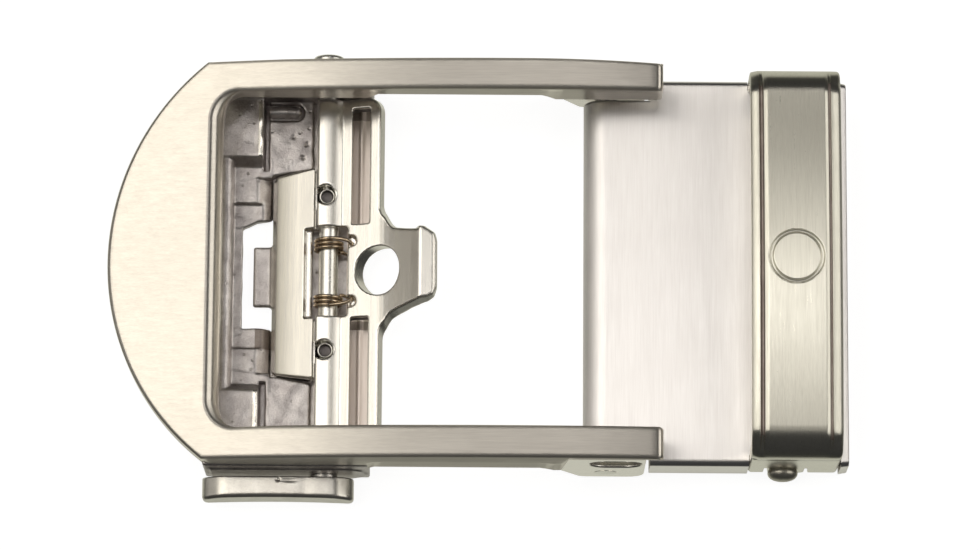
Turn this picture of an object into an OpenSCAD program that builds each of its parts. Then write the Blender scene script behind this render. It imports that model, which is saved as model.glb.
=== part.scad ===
// Ratchet belt buckle for a 35 mm strap, in millimetres.
// +X runs along the strap towards the strap clamp, +Y across it and +Z out of the front.
// The origin is on the strap's centre line, in the plane of the buckle's back.

/* [Frame] */
// Distance between the outer faces of the two arms, at the front
frame_w = 43; // [42.8:0.1:43.2]
// Clear distance between the two arms
gap_w = 36.5; // [36:0.1:36.8]
// X of the rounded end of the front bar
bar_end_x = -39.75; // [-39.9:0.05:-39.6]
// X of the window's edge at the front bar
window_x = -28.8; // [-28.9:0.1:-28.6]
// X of the arms' free ends
arm_end_x = 19.25; // [19:0.05:19.4]
// Radius of the rounded front bar in plan
bar_r = 27.4; // [27.2:0.1:27.6]
// Radius of the front face's curve along the strap
face_r = 250; // [240:5:260]
// X of the front face's highest line
crest_x = 4; // [3:0.5:5]
// Height of the front face's highest line
crest_z = 12.55; // [12.4:0.05:12.6]
// Thickness of the front bar
bar_t = 2.4; // [2.2:0.1:2.6]
// Radius of the window's corners
window_r = 3.5; // [3:0.1:4]
// Height of the arms' inner lower edge
arm_in_z = 7.5; // [7.3:0.1:7.7]
// Height of the arms' outer lower edge
arm_out_z = 6.5; // [6.3:0.1:6.8]

/* [Base] */
// Distance between the two deep walls that hold the pawl
bay_w = 38.6; // [38.4:0.1:38.8]
// X of the deep walls' left end
base_x0 = -29.3; // [-29.4:0.1:-29.2]
// X of the deep walls' right end
base_x1 = -11.75; // [-11.8:0.05:-11.7]
// Height of the floor beside the pawl
floor_z = 1.6; // [1.4:0.1:1.8]
// Height of the corner blocks
block_z = 3.2; // [3:0.1:3.2]
// Height of the lip that the strap slides in over
lip_z = 3; // [2.8:0.1:3]

/* [Pawl] */
// X of the pawl's axle
axle_x = -16.65; // [-16.7:0.05:-16.6]
// Height of the pawl's axle
axle_z = 2.75; // [2.7:0.05:2.8]
// Diameter of the axle
axle_d = 2.4; // [2.2:0.1:2.5]
// Radius of the pawl's barrel
barrel_r = 1.75; // [1.7:0.05:1.8]
// Length of the pawl between the deep walls
pawl_w = 37.9; // [37.6:0.1:38]
// Thickness of the pawl's plate
plate_t = 1.8; // [1.6:0.1:1.9]
// Diameter of the hole in the pawl's tooth
hole_d = 5.6; // [5.4:0.1:5.8]
// Diameter of the two roll pins
roll_d = 1.5; // [1.4:0.1:1.6]
// Distance of each roll pin from the centre line
roll_y = 8.5; // [8.3:0.1:8.7]
// Diameter of the springs' wire
wire_d = 0.4; // [0.36:0.02:0.42]

/* [Release lever] */
// Length of the lever
lever_l = 16.15; // [16:0.05:16.3]
// Height of the lever
lever_h = 3.9; // [3.7:0.1:4]
// Thickness of the lever
lever_t = 2.4; // [2.2:0.1:2.5]

/* [Clamp] */
// Width of the clamp body
clamp_w = 42; // [41.8:0.1:42.2]
// Height of the clamp body's top
clamp_z = 5.4; // [5.2:0.1:5.5]
// X of the clamp body's right end
clamp_x1 = 39.2; // [39:0.1:39.4]
// X of the hinge between frame and clamp
hinge_x = 13.35; // [13.3:0.05:13.4]
// Height of the hinge between frame and clamp
hinge_z = 3; // [2.9:0.1:3]
// Diameter of the hinge pin
hinge_d = 2.4; // [2.2:0.1:2.6]

/* [Keeper] */
// X of the keeper band's left edge
keeper_x0 = 28.65; // [28.6:0.05:28.7]
// X of the keeper band's right edge
keeper_x1 = 38.2; // [38.1:0.05:38.3]
// Height of the keeper band's panel
keeper_z = 12.8; // [12.4:0.1:13]
// Outer radius of the keeper band's two bends
bend_r = 3.5; // [3:0.1:5.2]

/* [Hidden] */
$fn = 64;
// Gap between pieces on different bodies, between pieces that are fixed together, and in a loose seat
run_gap = 0.35;
fit_gap = 0.02;
seat_gap = 0.1;
// Radial clearance of a shaft that turns
turn_gap = 0.05;
// Overshoot of a cut past the face that it goes through, and how far one shape runs into another
cut = 1;
root = 0.5;
// A height above everything
sky_z = 20;

// Frame
frame_y = frame_w / 2;
gap_y = gap_w / 2;
bay_y = bay_w / 2;
// The walls flare a little below the front face, and their lower edges are rounded
wall_y = frame_y + 0.35;
wall_round = 1.2;
wall_top_z = arm_in_z + 0.6;
flare_drop = 0.3;
bar_x = bar_end_x + bar_r;
arm_x0 = base_x0 + 0.4;
// Ears that hold the hinge pin
ear_x0 = 6.8;
ear_x1 = 17.6;
ear_in_y = 19.2;
ear_low_x = 10.8;
ear_z = 0.2;
ear_round = 1.8;
ear_step = 0.4;
// Pocket in each ear's outer face, open to the right
pocket_x = 11.85;
pocket_z = [6.6, 9.8];
pocket_d = 1.5;
// Low bosses on the deep walls' outer faces
boss_z = [0.9, 6.4];
boss_x0 = base_x0 + 0.3;
boss_x1 = -11.9;
boss_h = 0.15;

// Base: the opening below the pawl, its narrow left end and the floor's steps
bay_x0 = -23;
bay_half = 12.2;
slot_x0 = -25.8;
slot_half = 5.7;
lip_x = -27.65;
lip_r = 0.85;
low_floor_z = 1.1;
low_floor_half = 7.95;
sill_z = 0.55;
sill_x0 = -20.3;
sill_x1 = base_x1 - 0.1;
// Thin apron beside the wing, between the floor and the sill
apron_z = 0.2;
apron_y = 10;
floor_x1 = -18.8;
// Corner blocks: height at the foot of the sloped side, and their right ends
block_half = 12.84;
block_foot = 11.95;
block_x1 = [-24, -22.9];
block_edge = 0.4;
rib_y = 18.1;
rib_z = 1.75;
rib_r = 0.75;
rib_x1 = -19.1;

// Pawl: the wing on the left, as pairs of values at its nose and at the barrel
wing_x = [-22, -18.15];
wing_top_z = [1.45, 3.5];
wing_low_z = [0.35, 1.6];
wing_half = [10.87, 11.62];
nose_r = 0.55;
web_z = [1.45, 3.35];
tail_x = -24.6;
tail_half = 3.3;
tail_z = [0.2, 0.75];
// The plate rises at an angle: its height at one X, its root beside the axle, its right edge and corners
plate_z = 4.8;
plate_ref_x = -12.95;
plate_a = 20;
plate_root_x = axle_x + 1.2;
plate_x1 = -10.85;
plate_corner_r = 1;
// The tooth from the plate to the end of its lip: X, height of the top, height of the underside
tooth_rows = [
    [plate_ref_x, 4.5, 3.3],
    [-10.6, 5.65, 4],
    [-9.9, 6.25, 4.25],
    [-9, 7.1, 4.75],
    [-7.9, 8.15, 5.65],
    [-7.1, 8.65, 6.5],
    [-6.3, 8.82, 7.15],
    [-4.8, 8.95, 7.65],
    [-4.4, 8.65, 7.9]];
// Half widths of the tooth where it leaves the plate and at its lip, and the fillet beside it
tooth_half = [4.3, 3.9];
tooth_fillet = 2.4;
lip_tip_x = [-6.9, -5.1, -4.2];
lip_corner = 0.9;
notch_x = [-19.1, -14.35];
notch_half = 4.9;
recess_x = -13.45;
recess_y = 3.3;
recess_r = 0.6;
slot_x = [-13.95, -11.95];
slot_y = [5.15, 17.8];
hole_x = -11.05;
hole_z = 6;
hole_a = 30;
counter_d = 1.95;
counter_z = 4.05;
roll_bore_d = 0.85;
roll_low_z = axle_z - barrel_r + 0.25;

// Axle: the head outside the upper wall, and the shoulder and lever outside the lower one
head_d = 3.4;
head_y0 = wall_y + boss_h + turn_gap;
head_y = 24;
head_dome = 0.4;
shoulder_d = 3;
lever_y = -(wall_y + boss_h + 0.4);
lever_bore_l = 1.5;
lever_x1 = -13.4;
lever_mid_z = axle_z + 0.2;

// Springs: three turns beside the notch's ends, a short leg to the pawl and a long one to the sill
coil_turns = 3;
coil_a0 = 75;
coil_pitch = 0.46;
coil_r = axle_d / 2 + wire_d / 2 + 0.05;
coil_y1 = 3.65;
coil_steps = 14;
wire_sides = 8;
pawl_leg = [[2.65, -0.75, 1.4], [1.85, -0.2, 1.5]];
sill_leg_x = 2.3;

// Clamp
clamp_y = clamp_w / 2;
side_lean = 0.1;
nose_clamp_r = clamp_z - hinge_z;
narrow_y = ear_in_y - run_gap;
narrow_z = 0.6;
wide_x0 = ear_x1 + run_gap + seat_gap;
skin_t = 1.3;
cheek_in_y = 19.2;
cavity_x0 = 19.6;
rim_round = 0.8;
edge_bevel = 0.5;

// Keeper and its rivets
keeper_y = clamp_y;
leg_t = 1;
rim_drop = 0.45;
panel_x = [30.45, 36.75];
panel_bevel = 0.35;
rim_edge = 0.4;
band_t = 1.6;
leg_z = 0.7;
leg_corner_r = 0.6;
lug_drop = 0.4;
lug_x = [30.7, 34.6];
relief_w = 0.4;
relief_z = 3.1;
rivet_x = 32.5;
rivet_z = 1.9;
rivet_d = 2;
rivet_head_d = 3.16;
rivet_head_h = 1.4;
rivet_edge = 0.9;
ring_x = 33.55;
ring_d = 5.5;
ring_w = 0.3;
ring_depth = 0.15;

// Jaw: a plate in the clamp's cavity, with three ridges and an end block for each rivet
jaw_x = [cavity_x0 + 0.3, clamp_x1 - 0.6];
jaw_half = cheek_in_y - 0.15;
jaw_t = 1.1;
jaw_z0 = 0.15;
jaw_block_y = [18, 19];
jaw_block_half = 1.7;
jaw_block_top = 3.5;
ridge_x = [30.2, 32.5, 34.8];
ridge_half_y = 17;
ridge_h = 0.5;
ridge_foot = 0.5;
ridge_lean = 0.3;

// Points of an arc about (cx, cy), from angle a0 to angle a1
function arc(cx, cy, r, a0, a1, n = 10) =
    [for (i = [0 : n]) let (a = a0 + (a1 - a0) * i / n) [cx + r * cos(a), cy + r * sin(a)]];

// Extrudes an outline whose axes are X and Z along Y
module along_y(y0, y1) {
    translate([0, y1, 0]) rotate([90, 0, 0]) linear_extrude(y1 - y0) children();
}

// Extrudes an outline whose axes are Y and Z along X
module along_x(x0, x1) {
    translate([x0, 0, 0]) rotate([90, 0, 90]) linear_extrude(x1 - x0) children();
}

// Extrudes an outline whose axes are X and Y along Z
module along_z(z0, z1) {
    translate([0, 0, z0]) linear_extrude(z1 - z0) children();
}

// A box between two opposite corners
module block(low, high) {
    translate(low) cube(high - low);
}

// A shaft or a bore along Y
module shaft_y(x, z, d, y0, y1) {
    translate([x, y1, z]) rotate([90, 0, 0]) cylinder(d = d, h = y1 - y0);
}

// Both the shape and its mirror image across the centre line
module both_sides() {
    children();
    mirror([0, 1, 0]) children();
}

// Everything below the front face, sunk by drop
module below_face(drop = 0) {
    translate([crest_x, frame_w, crest_z - face_r]) rotate([90, 0, 0])
        cylinder(r = face_r - drop, h = 2 * frame_w, $fn = 360);
}

// Plan of the front: a rounded bar on the left and two straight arms
module front_plan() {
    intersection() {
        union() {
            translate([bar_x, 0]) circle(r = bar_r, $fn = 180);
            translate([bar_x, -frame_w]) square([arm_end_x - bar_x, 2 * frame_w]);
        }
        translate([bar_end_x - cut, -frame_y]) square([arm_end_x - bar_end_x + cut, frame_w]);
    }
}

// Plan of the window, open to the right
module window_plan() {
    translate([window_x + window_r, gap_y - window_r]) circle(r = window_r);
    translate([window_x + window_r, window_r - gap_y]) circle(r = window_r);
    translate([window_x, window_r - gap_y]) square([arm_end_x - window_x + cut, gap_w - 2 * window_r]);
    translate([window_x + window_r, -gap_y]) square([arm_end_x - window_x, gap_w]);
}

// The front: a curved bar and two arms, cut along the curve of the face
module front() {
    intersection() {
        difference() {
            intersection() {
                along_z(0, sky_z) front_plan();
                below_face();
            }
            along_z(-cut, sky_z + cut) window_plan();
        }
        union() {
            difference() {
                block([bar_end_x - cut, -frame_w, 0], [window_x + window_r, frame_w, sky_z]);
                below_face(bar_t);
            }
            both_sides() arm_bar();
        }
    }
}

// One arm's bar, wider at its lower edge, before it is cut to the front's curve
module arm_bar() {
    along_x(arm_x0, arm_end_x)
        polygon([[gap_y, sky_z], [gap_y, arm_in_z], [wall_y, arm_out_z], [frame_y, crest_z],
            [frame_y, sky_z]]);
}

// The flared outer skin of an arm, which the plan of the front leaves out
module arm_flare() {
    intersection() {
        along_x(arm_x0, arm_end_x)
            polygon([[gap_y + root, crest_z], [gap_y + root, arm_in_z], [wall_y, arm_out_z],
                [frame_y, crest_z]]);
        below_face(flare_drop);
    }
}

// Side outline of the deep wall, with rounded lower corners
module deep_outline() {
    r = wall_round;
    polygon(concat(
        [[base_x1, wall_top_z], [base_x0, wall_top_z]],
        arc(base_x0 + r, r, r, 180, 270),
        arc(base_x1 - r, r, r, 270, 360)));
}

// A deep wall beside the pawl, with a low boss on its outer face
module deep_wall() {
    r = wall_round;
    intersection() {
        along_x(base_x0, base_x1) polygon(concat(
            [[wall_y, wall_top_z], [bay_y, wall_top_z], [bay_y, 0]],
            arc(wall_y - r, r, r, 270, 360)));
        along_y(bay_y - cut, frame_w) deep_outline();
    }
    boss_r = (boss_z[1] - boss_z[0]) / 2;
    along_y(bay_y + cut, wall_y + boss_h) polygon(concat(
        arc(boss_x0 + boss_r, boss_z[0] + boss_r, boss_r, 90, 270),
        arc(boss_x1 - boss_r, boss_z[0] + boss_r, boss_r, 270, 450)));
}

// Side outline of an ear: it tapers down from the arm to its full depth
module ear_outline() {
    r = ear_round;
    polygon(concat(
        [[ear_x0, wall_top_z], [ear_x0, arm_in_z - ear_step],
            [ear_low_x - ear_step, ear_z + ear_step], [ear_low_x + ear_step, ear_z]],
        arc(ear_x1 - r, ear_z + r, r, 270, 360),
        [[ear_x1, wall_top_z]]));
}

module ear() {
    along_y(ear_in_y, frame_y) ear_outline();
}

// Pocket in the outer face of an ear, rounded at its left end
module ear_pocket() {
    r = (pocket_z[1] - pocket_z[0]) / 2;
    along_y(frame_y - pocket_d, frame_w) polygon(concat(
        [[arm_end_x + cut, pocket_z[1]]],
        arc(pocket_x + r, pocket_z[0] + r, r, 90, 270),
        [[arm_end_x + cut, pocket_z[0]]]));
}

// A corner block on the base's floor, with a sloped side towards the centre line
module corner_block(x1) {
    intersection() {
        along_x(base_x0, x1)
            polygon([[block_foot, 0], [block_foot, floor_z], [block_half, block_z], [bay_y + root, block_z],
                [bay_y + root, 0]]);
        along_y(0, frame_w)
            polygon([[boss_x0, 0], [boss_x0, block_z], [x1 - block_edge, block_z],
                [x1, block_z - block_edge], [x1, 0]]);
    }
}

// The base: a stepped floor round an opening, a rounded lip on the left and a thin sill under the barrel
module base() {
    both_sides() {
        block([lip_x, slot_half, 0], [bay_x0, low_floor_half, low_floor_z]);
        block([lip_x, low_floor_half, 0], [bay_x0, bay_half, floor_z]);
        block([lip_x, bay_half, 0], [floor_x1, bay_y + root, floor_z]);
        block([floor_x1 - cut, bay_half, 0], [sill_x1, bay_y + root, sill_z]);
        block([bay_x0 - cut, apron_y, 0], [sill_x0 + cut, bay_half + cut, apron_z]);
    }
    block([lip_x, -slot_half, 0], [slot_x0, slot_half, low_floor_z]);
    block([sill_x0, -bay_half - cut, 0], [sill_x1, bay_half + cut, sill_z]);
    for (i = [0, 1]) mirror([0, 1 - i, 0]) corner_block(block_x1[i]);
    along_y(-bay_y - root, bay_y + root) polygon(concat(
        [[lip_x + lip_r, 0]], arc(lip_x, lip_z - lip_r, lip_r, 0, 180), [[lip_x - lip_r, 0]]));
    translate([block_x1[1] - root, rib_y, rib_z]) rotate([0, 90, 0])
        cylinder(r = rib_r, h = rib_x1 - block_x1[1] + root);
    translate([rib_x1, rib_y, rib_z]) sphere(r = rib_r);
}

module frame() {
    color("gainsboro") difference() {
        union() {
            front();
            both_sides() {
                arm_flare();
                deep_wall();
                ear();
            }
            base();
        }
        both_sides() ear_pocket();
        shaft_y(axle_x, axle_z, axle_d + 2 * turn_gap, -frame_w, frame_w);
        shaft_y(hinge_x, hinge_z, hinge_d + 2 * fit_gap, -frame_w, frame_w);
    }
}

// Height of the pawl plate's top at a given X
function plate_top(x) = plate_z + (x - plate_ref_x) * tan(plate_a);

// Section of the plate, square to its own slope at its right edge
module plate_section() {
    drop = plate_t / cos(plate_a);
    polygon([[axle_x, axle_z], [plate_root_x, plate_top(plate_root_x)], [plate_x1, plate_top(plate_x1)],
        [plate_x1 + plate_t * sin(plate_a), plate_top(plate_x1) - plate_t * cos(plate_a)],
        [plate_root_x, plate_top(plate_root_x) - drop]]);
}

// Section of the tooth: it curls up from the plate to a flat lip
module tooth_section() {
    top = [for (row = tooth_rows) [row[0], row[1]]];
    under = [for (i = [len(tooth_rows) - 1 : -1 : 0]) [tooth_rows[i][0], tooth_rows[i][2]]];
    polygon(concat(top, under));
}

// Plan of the tooth, with fillets where it leaves the plate and cut corners at the lip
module tooth_plan() {
    r = tooth_fillet;
    for (side = [0, 1]) mirror([0, side]) difference() {
        polygon([[plate_ref_x, 0], [plate_ref_x, tooth_half[0] + r], [plate_x1, tooth_half[0] + r],
            [plate_x1 + r, tooth_half[0]], [lip_tip_x[0], tooth_half[1]], [lip_tip_x[1], tooth_half[1]],
            [lip_tip_x[2], tooth_half[1] - lip_corner], [lip_tip_x[2], 0]]);
        translate([plate_x1 + r, tooth_half[0] + r]) circle(r = r);
    }
}

// The wing on the left of the barrel, with a rounded nose and a tail
module wing() {
    intersection() {
        along_y(-wing_half[1], wing_half[1]) polygon(concat(
            [[wing_x[1], wing_low_z[1]], [wing_x[1], wing_top_z[1]], [wing_x[0], wing_top_z[0]]],
            arc(wing_x[0], wing_top_z[0] - nose_r, nose_r, 90, 270)));
        along_z(0, sky_z) polygon([
            [wing_x[0] - nose_r, -wing_half[0]], [wing_x[1], -wing_half[1]],
            [wing_x[1], wing_half[1]], [wing_x[0] - nose_r, wing_half[0]]]);
    }
    tail_r = (tail_z[1] - tail_z[0]) / 2;
    along_y(-tail_half, tail_half) polygon(concat(
        [[wing_x[0] + cut, tail_z[0]], [wing_x[0] + cut, tail_z[1] + tail_r]],
        arc(tail_x + tail_r, tail_z[0] + tail_r, tail_r, 90, 270, 6)));
}

// The barrel, the web between it and the wing, and the plate with rounded outer corners
module barrel_and_plate() {
    r = plate_corner_r;
    web_x = wing_x[1] - root;
    shaft_y(axle_x, axle_z, 2 * barrel_r, -pawl_w / 2, pawl_w / 2);
    along_y(-wing_half[1], wing_half[1])
        polygon([[axle_x, web_z[1]], [web_x, wing_top_z[1] - fit_gap],
            [web_x, wing_low_z[1] - fit_gap], [axle_x, web_z[0]]]);
    intersection() {
        along_y(-pawl_w / 2, pawl_w / 2) plate_section();
        along_z(0, sky_z) hull() {
            translate([axle_x, -pawl_w / 2]) square([r, pawl_w]);
            for (y = [r - pawl_w / 2, pawl_w / 2 - r])
                translate([plate_x1 + plate_t * sin(plate_a) - r, y]) circle(r = r);
        }
    }
}

// Everything that is cut out of the pawl
module pawl_cuts() {
    block([notch_x[0], -notch_half, -cut], [notch_x[1], notch_half, sky_z]);
    both_sides() {
        translate([recess_x - recess_r, recess_y, -cut]) cylinder(r = recess_r, h = sky_z);
        block([notch_x[1] - cut, recess_y - recess_r, -cut],
            [recess_x - recess_r, recess_y + recess_r, sky_z]);
        block([slot_x[0], slot_y[0], -cut], [slot_x[1], slot_y[1], sky_z]);
        translate([axle_x, roll_y, -cut]) cylinder(d = roll_d + 2 * fit_gap, h = sky_z);
        translate([axle_x, roll_y, counter_z]) cylinder(d = counter_d, h = sky_z);
    }
    translate([hole_x, 0, hole_z]) rotate([0, -hole_a, 0]) cylinder(d = hole_d, h = sky_z, center = true);
    shaft_y(axle_x, axle_z, axle_d + 2 * fit_gap, -frame_w, frame_w);
}

module pawl() {
    color("lightgray") difference() {
        union() {
            barrel_and_plate();
            wing();
            intersection() {
                along_y(-frame_y, frame_y) tooth_section();
                along_z(0, sky_z) tooth_plan();
            }
        }
        pawl_cuts();
    }
}

// The axle has a domed head at one end and a shoulder at the other, beside the lever
module axle() {
    head_l = head_y - head_y0;
    color("silver") difference() {
        union() {
            shaft_y(axle_x, axle_z, axle_d, lever_y - lever_bore_l, head_y - cut);
            shaft_y(axle_x, axle_z, shoulder_d, lever_y + fit_gap, -head_y0);
            translate([axle_x, head_y0, axle_z]) rotate([-90, 0, 0]) rotate_extrude() polygon(concat(
                [[0, 0], [head_d / 2, 0]],
                arc(head_d / 2 - head_dome, head_l - head_dome, head_dome, 0, 90),
                [[0, head_l]]));
        }
        both_sides() translate([axle_x, roll_y, -cut]) cylinder(d = roll_d + 2 * fit_gap, h = sky_z);
    }
}

// A rolled tube through the barrel and the axle
module roll_pin(side) {
    color("silver") translate([axle_x, side * roll_y, roll_low_z]) difference() {
        cylinder(d = roll_d, h = counter_z + seat_gap - roll_low_z);
        translate([0, 0, -cut]) cylinder(d = roll_bore_d, h = sky_z);
    }
}

// Centre line of a spring: a leg over the pawl's recess, the coil, and a leg down to the sill
function coil_path() = concat(
    pawl_leg,
    [for (i = [0 : coil_turns * coil_steps - 3])
        let (a = coil_a0 + 360 * i / coil_steps)
        [coil_r * cos(a), -coil_pitch * i / coil_steps, coil_r * sin(a)]],
    [[sill_leg_x, -coil_pitch * coil_turns, sill_z + wire_d / 2 + 0.05 - axle_z]]);

// Sweeps a round wire along a list of points
module wire(path, d, sides) {
    n = len(path);
    rings = [for (i = [0 : n - 1]) let (
        t0 = path[min(i + 1, n - 1)] - path[max(i - 1, 0)],
        t = t0 / norm(t0),
        u0 = cross(t, [0, 1, 0]),
        u = u0 / norm(u0),
        v = cross(t, u))
        [for (k = [0 : sides - 1]) path[i] + d / 2 * (cos(360 * k / sides) * u + sin(360 * k / sides) * v)]];
    points = [for (ring = rings) for (p = ring) p];
    walls = [for (i = [0 : n - 2]) for (k = [0 : sides - 1]) let (k1 = (k + 1) % sides)
        [i * sides + k, i * sides + k1, (i + 1) * sides + k1, (i + 1) * sides + k]];
    caps = [[for (k = [0 : sides - 1]) sides - 1 - k], [for (k = [0 : sides - 1]) (n - 1) * sides + k]];
    polyhedron(points, concat(walls, caps));
}

// A torsion spring round the axle
module spring() {
    color("peru") translate([axle_x, coil_y1, axle_z]) wire(coil_path(), wire_d, wire_sides);
}

// The lever: a paddle with a slightly hollow outer face, round the lower end of the axle
module release_lever() {
    x0 = lever_x1 - lever_l;
    z0 = lever_mid_z - lever_h / 2;
    end_r = 1.1;
    side_r = 0.7;
    waist = 0.25;
    mid_x = (x0 + lever_x1) / 2;
    hollow_r = (pow(lever_l / 2, 2) + waist * waist) / (2 * waist);
    color("gainsboro") difference() {
        intersection() {
            along_y(lever_y - lever_t, lever_y) polygon(concat(
                arc(x0 + end_r, z0 + end_r, end_r, 180, 270),
                arc(lever_x1 - end_r, z0 + end_r, end_r, 270, 360),
                arc(lever_x1 - end_r, z0 + lever_h - end_r, end_r, 0, 90),
                arc(x0 + end_r, z0 + lever_h - end_r, end_r, 90, 180)));
            along_z(0, sky_z) polygon(concat(
                arc(x0 + side_r, lever_y - lever_t + side_r, side_r, 180, 270, 6),
                arc(lever_x1 - side_r, lever_y - lever_t + side_r, side_r, 270, 360, 6),
                [[lever_x1, lever_y], [x0, lever_y]]));
        }
        translate([mid_x, lever_y - lever_t + waist - hollow_r, 0])
            cylinder(r = hollow_r, h = sky_z, $fn = 720);
        shaft_y(axle_x, axle_z, axle_d + 2 * fit_gap, lever_y - lever_bore_l - fit_gap, lever_y + cut);
    }
}

module hinge_pin() {
    color("silver") shaft_y(hinge_x, hinge_z, hinge_d, -frame_y, frame_y);
}

// Section of the clamp's wide part across the strap, with bevelled upper and rounded lower edges
module clamp_section() {
    b = edge_bevel;
    r = rim_round;
    half = concat(
        [[clamp_y - b, clamp_z], [clamp_y - side_lean, clamp_z - b]],
        arc(clamp_y + side_lean - r, r, r, 0, -90, 6));
    polygon(concat(half, [for (i = [len(half) - 1 : -1 : 0]) [-half[i][0], half[i][1]]]));
}

// The clamp: a box for the strap's fixed end, with a rounded nose between the frame's ears
module clamp_body() {
    r = rim_round;
    color("whitesmoke") difference() {
        union() {
            shaft_y(hinge_x, hinge_z, 2 * nose_clamp_r, -narrow_y, narrow_y);
            block([hinge_x, -narrow_y, narrow_z], [wide_x0 + cut, narrow_y, clamp_z]);
            intersection() {
                along_x(wide_x0, clamp_x1) clamp_section();
                along_y(-clamp_w, clamp_w) polygon(concat(
                    [[wide_x0, 0]],
                    arc(clamp_x1 - r, r, r, 270, 360, 6),
                    arc(clamp_x1 - r / 2, clamp_z - r / 2, r / 2, 0, 90, 6),
                    [[wide_x0, clamp_z]]));
            }
        }
        block([cavity_x0, -cheek_in_y, -cut], [clamp_x1 + cut, cheek_in_y, clamp_z - skin_t]);
        both_sides() block([keeper_x0 - seat_gap, keeper_y - leg_t - turn_gap, -cut],
            [keeper_x1 + seat_gap, clamp_w, clamp_z + cut]);
        shaft_y(hinge_x, hinge_z, hinge_d + 2 * turn_gap, -frame_w, frame_w);
        shaft_y(rivet_x, rivet_z, rivet_d + 2 * fit_gap, -frame_w, frame_w);
    }
}

// One ridge across the jaw, leaning away from the strap's free way out
module jaw_ridge(x) {
    top_z = jaw_z0 + jaw_t;
    along_y(-ridge_half_y, ridge_half_y) polygon([
        [x - ridge_foot, top_z - seat_gap], [x + ridge_foot, top_z - seat_gap],
        [x + ridge_lean, top_z + ridge_h]]);
}

// The jaw under the strap's fixed end: a ridged plate held by the two rivets
module clamp_jaw() {
    color("darkgray") difference() {
        union() {
            block([jaw_x[0], -jaw_half, jaw_z0], [jaw_x[1], jaw_half, jaw_z0 + jaw_t]);
            for (x = ridge_x) jaw_ridge(x);
            both_sides() block([rivet_x - jaw_block_half, jaw_block_y[0], jaw_z0],
                [rivet_x + jaw_block_half, jaw_block_y[1], jaw_block_top]);
        }
        both_sides() shaft_y(rivet_x, rivet_z, rivet_d + 2 * fit_gap, jaw_block_y[0] + seat_gap, frame_w);
    }
}

// Section of the keeper band: X along the strap, and depth below the panel
function keeper_section(t) = [
    [keeper_x0, t], [keeper_x0, rim_drop + rim_edge], [keeper_x0 + rim_edge, rim_drop],
    [panel_x[0] - panel_bevel, rim_drop], [panel_x[0], 0],
    [panel_x[1], 0], [panel_x[1] + panel_bevel, rim_drop],
    [keeper_x1 - rim_edge, rim_drop], [keeper_x1, rim_drop + rim_edge], [keeper_x1, t]];

// One bend of the band, about an axis along X
module keeper_bend() {
    translate([0, keeper_y - bend_r, keeper_z - bend_r]) rotate([0, 90, 0]) rotate([0, 0, 90])
        rotate_extrude(angle = 90, $fn = 96)
            polygon([for (p = keeper_section(band_t)) [bend_r - p[1], p[0]]]);
}

// One leg of the band, thinned to lie in the clamp's side, with a lug between two reliefs
module keeper_leg() {
    r = leg_corner_r;
    top = keeper_z - bend_r;
    lug_z = leg_z - lug_drop;
    intersection() {
        along_z(lug_z, top) polygon([for (p = keeper_section(band_t)) [p[0], keeper_y - p[1]]]);
        along_x(keeper_x0, keeper_x1) polygon([
            [keeper_y, 0], [keeper_y, top + cut], [keeper_y - band_t, top + cut],
            [keeper_y - band_t, clamp_z + band_t - leg_t], [keeper_y - leg_t, clamp_z],
            [keeper_y - leg_t, 0]]);
        along_y(0, frame_w) polygon(concat(
            [[keeper_x1, top + cut], [keeper_x0, top + cut], [keeper_x0, leg_z], [lug_x[0] - relief_w, leg_z],
                [lug_x[0] - relief_w, relief_z], [lug_x[0], relief_z]],
            arc(lug_x[0] + r, lug_z + r, r, 180, 270, 6),
            arc(lug_x[1] - r, lug_z + r, r, 270, 360, 6),
            [[lug_x[1], relief_z], [lug_x[1] + relief_w, relief_z], [lug_x[1] + relief_w, leg_z]],
            arc(keeper_x1 - r, leg_z + r, r, 270, 360, 6)));
    }
}

// The keeper: a raised band over the clamp, with a plain ring sunk in its panel
module keeper_band() {
    color("darkseagreen") difference() {
        union() {
            along_y(bend_r - keeper_y, keeper_y - bend_r)
                polygon([for (p = keeper_section(band_t)) [p[0], keeper_z - p[1]]]);
            both_sides() {
                keeper_bend();
                keeper_leg();
            }
        }
        translate([ring_x, 0, keeper_z - ring_depth]) difference() {
            cylinder(d = ring_d + ring_w, h = cut);
            translate([0, 0, -cut]) cylinder(d = ring_d - ring_w, h = 3 * cut);
        }
        shaft_y(rivet_x, rivet_z, rivet_d + 2 * fit_gap, -frame_w, frame_w);
    }
}

// A rivet with a rounded head outside the keeper's lug
module keeper_rivet() {
    edge = rivet_edge;
    seat_y = keeper_y + fit_gap;
    shank_l = seat_y - jaw_block_y[0] - 2 * seat_gap;
    color("silver") translate([rivet_x, seat_y, rivet_z]) rotate([-90, 0, 0]) rotate_extrude()
        polygon(concat(
            [[0, -shank_l], [rivet_d / 2, -shank_l], [rivet_d / 2, 0], [rivet_head_d / 2, 0]],
            arc(rivet_head_d / 2 - edge, rivet_head_h - edge, edge, 0, 90),
            [[0, rivet_head_h]]));
}

frame();
pawl();
axle();
roll_pin(1);  // roll_pin_upper
roll_pin(-1);  // roll_pin_lower
spring();  // spring_upper
mirror([0, 1, 0]) spring();  // spring_lower
release_lever();
hinge_pin();
clamp_body();
clamp_jaw();
keeper_band();
keeper_rivet();  // keeper_rivet_upper
mirror([0, 1, 0]) keeper_rivet();  // keeper_rivet_lower
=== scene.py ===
import math
import bpy
import numpy as np
from mathutils import Matrix, Vector


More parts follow.
